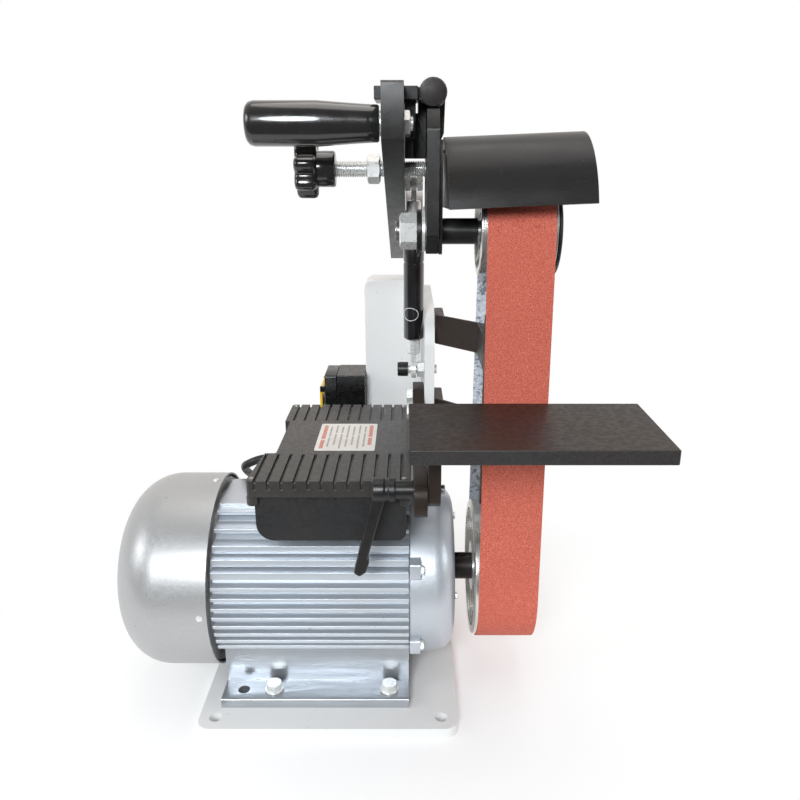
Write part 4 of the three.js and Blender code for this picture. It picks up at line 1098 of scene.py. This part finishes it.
def build_handle():
    s = span("handle_grip")
    spot = middle("handle_grip")
    turned = [(0, 0), (10.2, 0), (12.6, 0.6), (14.6, 2.6), (15.35, 6), (15.35, 50), (15.0, 54)]
    turned += [(13.4, 76), (12.9, 84)]
    profile = [(r, s.x0 + x) for r, x in turned]
    profile += [(12.5, s.x1 - 1), (11.6, s.x1), (5.3, s.x1), (5.3, s.x0 + 16), (0, s.x0 + 16)]
    piece("handle_grip_turned", "gloss_black", [lathe("x", profile, spot, 96)], "handle_grip", angle=50)
    b = span("handle_bolt")
    shapes = [
        rod("x", 5, b.x0, b.x1, spot),
        washer("x", 8.5, 5, s.x1 + GAP, 49.05, spot),
        hexagon("x", 16, 64.65, b.x1 - 2, spot, turn=0.2, bore=5),
    ]
    piece("handle_bolt_hex", "zinc", shapes, "handle_bolt")


def build_pivot():
    spot = middle("lever_pivot_bolt")
    s = span("lever_pivot_bolt")
    shapes = [
        rod("x", 6, s.x0, s.x1, spot),
        hexagon("x", 19, 81.95, 91.65, spot),
    ]
    piece("lever_pivot_hex", "zinc", shapes, "lever_pivot_bolt")


def build_hinge():
    dress("hinge_bar", "black_paint", 0.6)
    dress("tracking_plate", "black_paint", 0.8)
    s = span("hinge_pin")
    x, z = (s.x0 + s.x1) / 2, (s.z0 + s.z1) / 2
    head = [(0, s.y0), (8.5, s.y0), (9.1, s.y0 + 0.2), (9.3, s.y0 + 0.7), (9.3, s.y0 + 2), (0, s.y0 + 2)]
    shapes = [rod("y", 5, s.y0 + 1, s.y1, (x, z)), lathe("y", head, (x, z), 96)]
    piece("hinge_pin_turned", "dark_steel", shapes, "hinge_pin")


KNOB_LOBES = 7


def build_adjuster():
    s = span("tracking_screw")
    spot = middle("tracking_screw")
    shape = thread("x", 6, 1.75, s.x0, s.x1, spot)
    piece("tracking_screw_thread", "zinc", [shape], "tracking_screw", angle=50)
    j = span("jam_nut")
    nut = hexagon("x", 19, j.x0, j.x1, spot, (True, True), turn=math.pi / 6, bore=6.2)
    piece("jam_nut_hex", "zinc", [nut], "jam_nut")
    build_knob(spot)


def build_knob(spot):
    s = span("tracking_knob")

    def star(inset):
        def radius(t):
            wave = -math.cos(KNOB_LOBES * (t - math.pi / 2))
            return 19.8 + 2.6 * wave - 0.5 * wave * wave - inset
        return radius

    head = s.x0 + 16.6
    front = [(0, 1.2), (9, 1.2), (10, 0.4), (star(5), 0), (star(2.4), 0.5), (star(0.8), 1.8)]
    back = [(star(0.3), -3.4), (star(1.0), -1.4), (star(3), -0.2), (13.3, 0)]
    profile = [(r, s.x0 + x) for r, x in [*front, (star(0.3), 3.6)]]
    profile += [(r, head + x) for r, x in back]
    profile += [(13.3, s.x1 - 1), (12.4, s.x1), (6.3, s.x1), (6.3, s.x0 + 10), (0, s.x0 + 10)]
    knob = lathe("x", profile, spot, 168)
    piece("tracking_knob_star", "gloss_black", [knob], "tracking_knob", angle=50)


def build_lever():
    dress("lever_arm", "black_paint", 0.9, 3)
    build_handle()
    build_pivot()
    build_hinge()
    build_adjuster()


# ---------- gas spring ----------

SPRING_LOW = Vector((71.95, -8, 276))
SPRING_HIGH = Vector((71.95, -14, 439))
SPRING_ALONG = (SPRING_HIGH - SPRING_LOW).normalized()
SPRING_LONG = (SPRING_HIGH - SPRING_LOW).length


def on_spring(shape):
    """Moves a shape drawn upright from the spring's lower eye into its place."""
    lean = Vector((0, 0, 1)).rotation_difference(SPRING_ALONG).to_matrix().to_4x4()
    return moved(shape, Matrix.Translation(SPRING_LOW) @ lean)


def eye(height, outer, bore, away):
    """A flat eye with its neck; away is +1 when the neck leaves upwards."""
    half = 2.25
    ring = lathe("x", [(bore, -half), (outer, -half), (outer, half), (bore, half)], (0, height), 48)
    near, far = height + away * 6.4, height + away * 17
    return ring, prism("x", [(-4.6, near), (4.6, near), (4.2, far), (-4.2, far)], -2.2, 2.2)


def build_gas_spring():
    r = 9
    tube = [(0, 29), (r - 1.2, 29), (r, 30.2), (r, 96), (r - 0.5, 96.5), (r - 0.5, 97.7), (r, 98.2)]
    tube += [(r, 113), (r - 0.8, 114.5), (r - 2, 115), (4.3, 115), (4.3, 110), (0, 110)]
    body = on_spring(lathe("z", tube, (0, 0), 72))
    piece("gas_tube_body", "tube_black", [body], "gas_tube", angle=40)
    collar = [(0, 15), (5, 15), (5.9, 16), (5.9, 29), (0, 29)]
    lower = merge(*eye(0, 8, 4.3, 1), lathe("z", collar, (0, 0), 48))
    piece("gas_tube_eye", "zinc", [on_spring(lower)], body="spring_tube", width=0.4)
    top = SPRING_LONG
    seat, neck = top - 26, top - 14.5
    collar = [(0, seat), (5.9, seat), (5.9, top - 16), (5, neck), (0, neck)]
    bar = rod("z", 4, 60, top - 20, (0, 0))
    upper = merge(*eye(top, 8, 5.2, -1), lathe("z", collar, (0, 0), 48), bar)
    piece("gas_rod_bar", "zinc", [on_spring(upper)], "gas_rod", width=0.4)
    build_oval_mark(r)


def build_oval_mark(r):
    """A plain oval ring wrapped on the tube, with no lettering."""
    mid, wide, tall, line, aside = 52.5, 7.0, 5.3, 0.55, -0.35
    verts, faces = [], []
    steps = 48
    for k in range(steps):
        t = 2 * math.pi * k / steps
        for grow in (0, line):
            a = aside + (wide + grow) * math.cos(t) / r
            h = mid + (tall + grow) * math.sin(t)
            verts.append(((r + 0.06) * math.sin(a), -(r + 0.06) * math.cos(a), h))
        n = 2 * ((k + 1) % steps)
        faces.append([2 * k, 2 * k + 1, n + 1, n])
    ring = solid("gas_tube_oval", on_spring((verts, faces)))
    show(ring, "oval_white", body="spring_tube")


def build_spring_bolts():
    s = span("gas_lower_bolt")
    spot = (SPRING_LOW.y, SPRING_LOW.z)
    x = SPRING_LOW.x
    socket = [(0, s.x0 + 5), (3, s.x0 + 4.5), (3.2, s.x0)]
    head = [*socket, (5.9, s.x0), (6.5, s.x0 + 0.8), (6.5, x - 4.9), (0, x - 4.9)]
    piece("gas_lower_cap_head", "black_paint", [lathe("x", head, spot, 48)])
    shapes = [rod("x", 4, x - 4.7, s.x1, spot), hexagon("x", 13, x + 3.1, 81.35, spot, (True, False))]
    piece("gas_lower_cap_screw", "zinc", shapes, "gas_lower_bolt")
    u = span("gas_upper_bolt")
    spot = (SPRING_HIGH.y, SPRING_HIGH.z)
    shapes = [
        hexagon("x", 13, 64.65, x - 2.7, spot),
        rod("x", 4, u.x0, x + 5, spot),
        hexagon("x", 13, x + 2.7, u.x1, spot),
    ]
    piece("gas_upper_hex", "zinc", shapes, "gas_upper_bolt")


# ---------- switch ----------


def build_switch():
    dress("switch_body", "black_plastic", 1.0, 3)
    dress("switch_bezel", "black_plastic", 0.5)
    dress("switch_flap", "yellow_plastic", 0.4)
    for node, finish in (("start_button", "green_plastic"), ("stop_button", "red_plastic")):
        s = span(node)
        spot = middle(node)
        crown = [(0, s.x0 + 0.6), (3.5, s.x0 + 0.3), (5.2, s.x0)]
        profile = [*crown, (6, s.x0 + 0.8), (6, s.x1), (0, s.x1)]
        piece(f"{node}_cap", finish, [lathe("x", profile, spot, 48)], node)


# ---------- stage ----------


def pale_floor():
    """A pale floor that turns into the backdrop's own white away from the grinder."""
    m = Recipe("studio_floor", (0.95, 0.95, 0.95), 0.8)
    m.stain((0.92, 0.92, 0.92), m.noise(2, 2), 0.4, 0.7, 0.4)
    split = m.add("ShaderNodeSeparateXYZ", {"Vector": m.place()}).outputs
    square = [m.math("MULTIPLY", split[a], split[a]) for a in ("X", "Y")]
    far = m.ramp(m.math("SQRT", m.math("ADD", *square), 0.0), 0.08, 0.36)
    glow = m.add("ShaderNodeEmission", {"Color": (1, 1, 1, 1), "Strength": 1.0})
    mix = m.add("ShaderNodeMixShader")
    m.put(mix, 0, far)
    m.put(mix, 1, m.shader.outputs["BSDF"])
    m.put(mix, 2, glow.outputs["Emission"])
    m.links.new(mix.outputs[0], m.nodes["Material Output"].inputs["Surface"])
    return m.material


def build_floor():
    """The floor ends a little in front of the grinder, so that its front faces reflect the dark room."""
    front, back, side = -0.42, 30, 30
    corners = [(-side, front, 0), (side, front, 0), (side, back, 0), (-side, back, 0)]
    mesh = bpy.data.meshes.new("studio_floor")
    mesh.from_pydata(corners, [], [(0, 1, 2, 3)])
    mesh.materials.append(pale_floor())
    in_scene("studio_floor", mesh)


def build_world():
    """A bright backdrop behind the grinder and a dark room in front of it, on a white page."""
    world = bpy.data.worlds.new("studio")
    world.use_nodes = True
    nodes, links = world.node_tree.nodes, world.node_tree.links
    around = nodes.new("ShaderNodeTexCoord").outputs["Generated"]
    split = nodes.new("ShaderNodeSeparateXYZ")
    links.new(around, split.inputs[0])
    strength = nodes.new("ShaderNodeMapRange")
    links.new(split.outputs["Y"], strength.inputs["Value"])
    for socket, value in {"From Min": -0.5, "From Max": 0.8, "To Min": 0.12, "To Max": 0.95}.items():
        strength.inputs[socket].default_value = value
    room = nodes["Background"]
    room.inputs["Color"].default_value = (1.0, 0.96, 0.92, 1.0)
    links.new(strength.outputs["Result"], room.inputs["Strength"])
    page = nodes.new("ShaderNodeBackground")
    page.inputs["Color"].default_value = (1, 1, 1, 1)
    mix = nodes.new("ShaderNodeMixShader")
    links.new(nodes.new("ShaderNodeLightPath").outputs["Is Camera Ray"], mix.inputs[0])
    links.new(room.outputs[0], mix.inputs[1])
    links.new(page.outputs[0], mix.inputs[2])
    links.new(mix.outputs[0], nodes["World Output"].inputs["Surface"])
    bpy.context.scene.world = world


LIGHTS_AIM = Vector((0.03, -0.02, 0.2))


def soft_light(name, place_at, size, power, color):
    light = bpy.data.lights.new(name, "AREA")
    light.shape = "DISK"
    light.size = size
    light.energy = power
    light.color = color
    obj = in_scene(name, light)
    obj.location = place_at
    obj.rotation_euler = (LIGHTS_AIM - Vector(place_at)).to_track_quat("-Z", "Y").to_euler()


def build_lights():
    soft_light("front", (-0.4, -2.2, 1.3), 0.9, 52, (0.92, 0.965, 1.0))
    soft_light("left", (-2.0, -0.9, 1.2), 1.0, 14, (0.95, 0.98, 1.0))
    soft_light("right", (2.0, -0.8, 1.0), 1.0, 9, (0.95, 0.98, 1.0))
    soft_light("top", (0.1, 0.2, 2.0), 1.4, 10, (1.0, 0.96, 0.92))


# the camera of the photo: its place in metres and how far it looks down, in degrees
CAMERA_AT = (0.06735, -0.669, 0.4573)
CAMERA_DOWN = 17.7
LENS_MM = 33.885
LENS_SHIFT_X = -0.0106


def build_camera():
    data = bpy.data.cameras.new("photo_camera")
    data.lens = LENS_MM
    data.sensor_width = 36
    data.shift_x = LENS_SHIFT_X
    camera = in_scene("photo_camera", data)
    camera.location = CAMERA_AT
    camera.rotation_euler = (math.radians(90 - CAMERA_DOWN), 0, 0)
    bpy.context.scene.camera = camera


bpy.context.scene.view_settings.view_transform = "Standard"
build_camera()
build_upright()
build_motor()
build_terminal()
build_belt_side()
build_table()
build_lever()
build_gas_spring()
build_spring_bolts()
build_switch()
build_floor()
build_world()
build_lights()
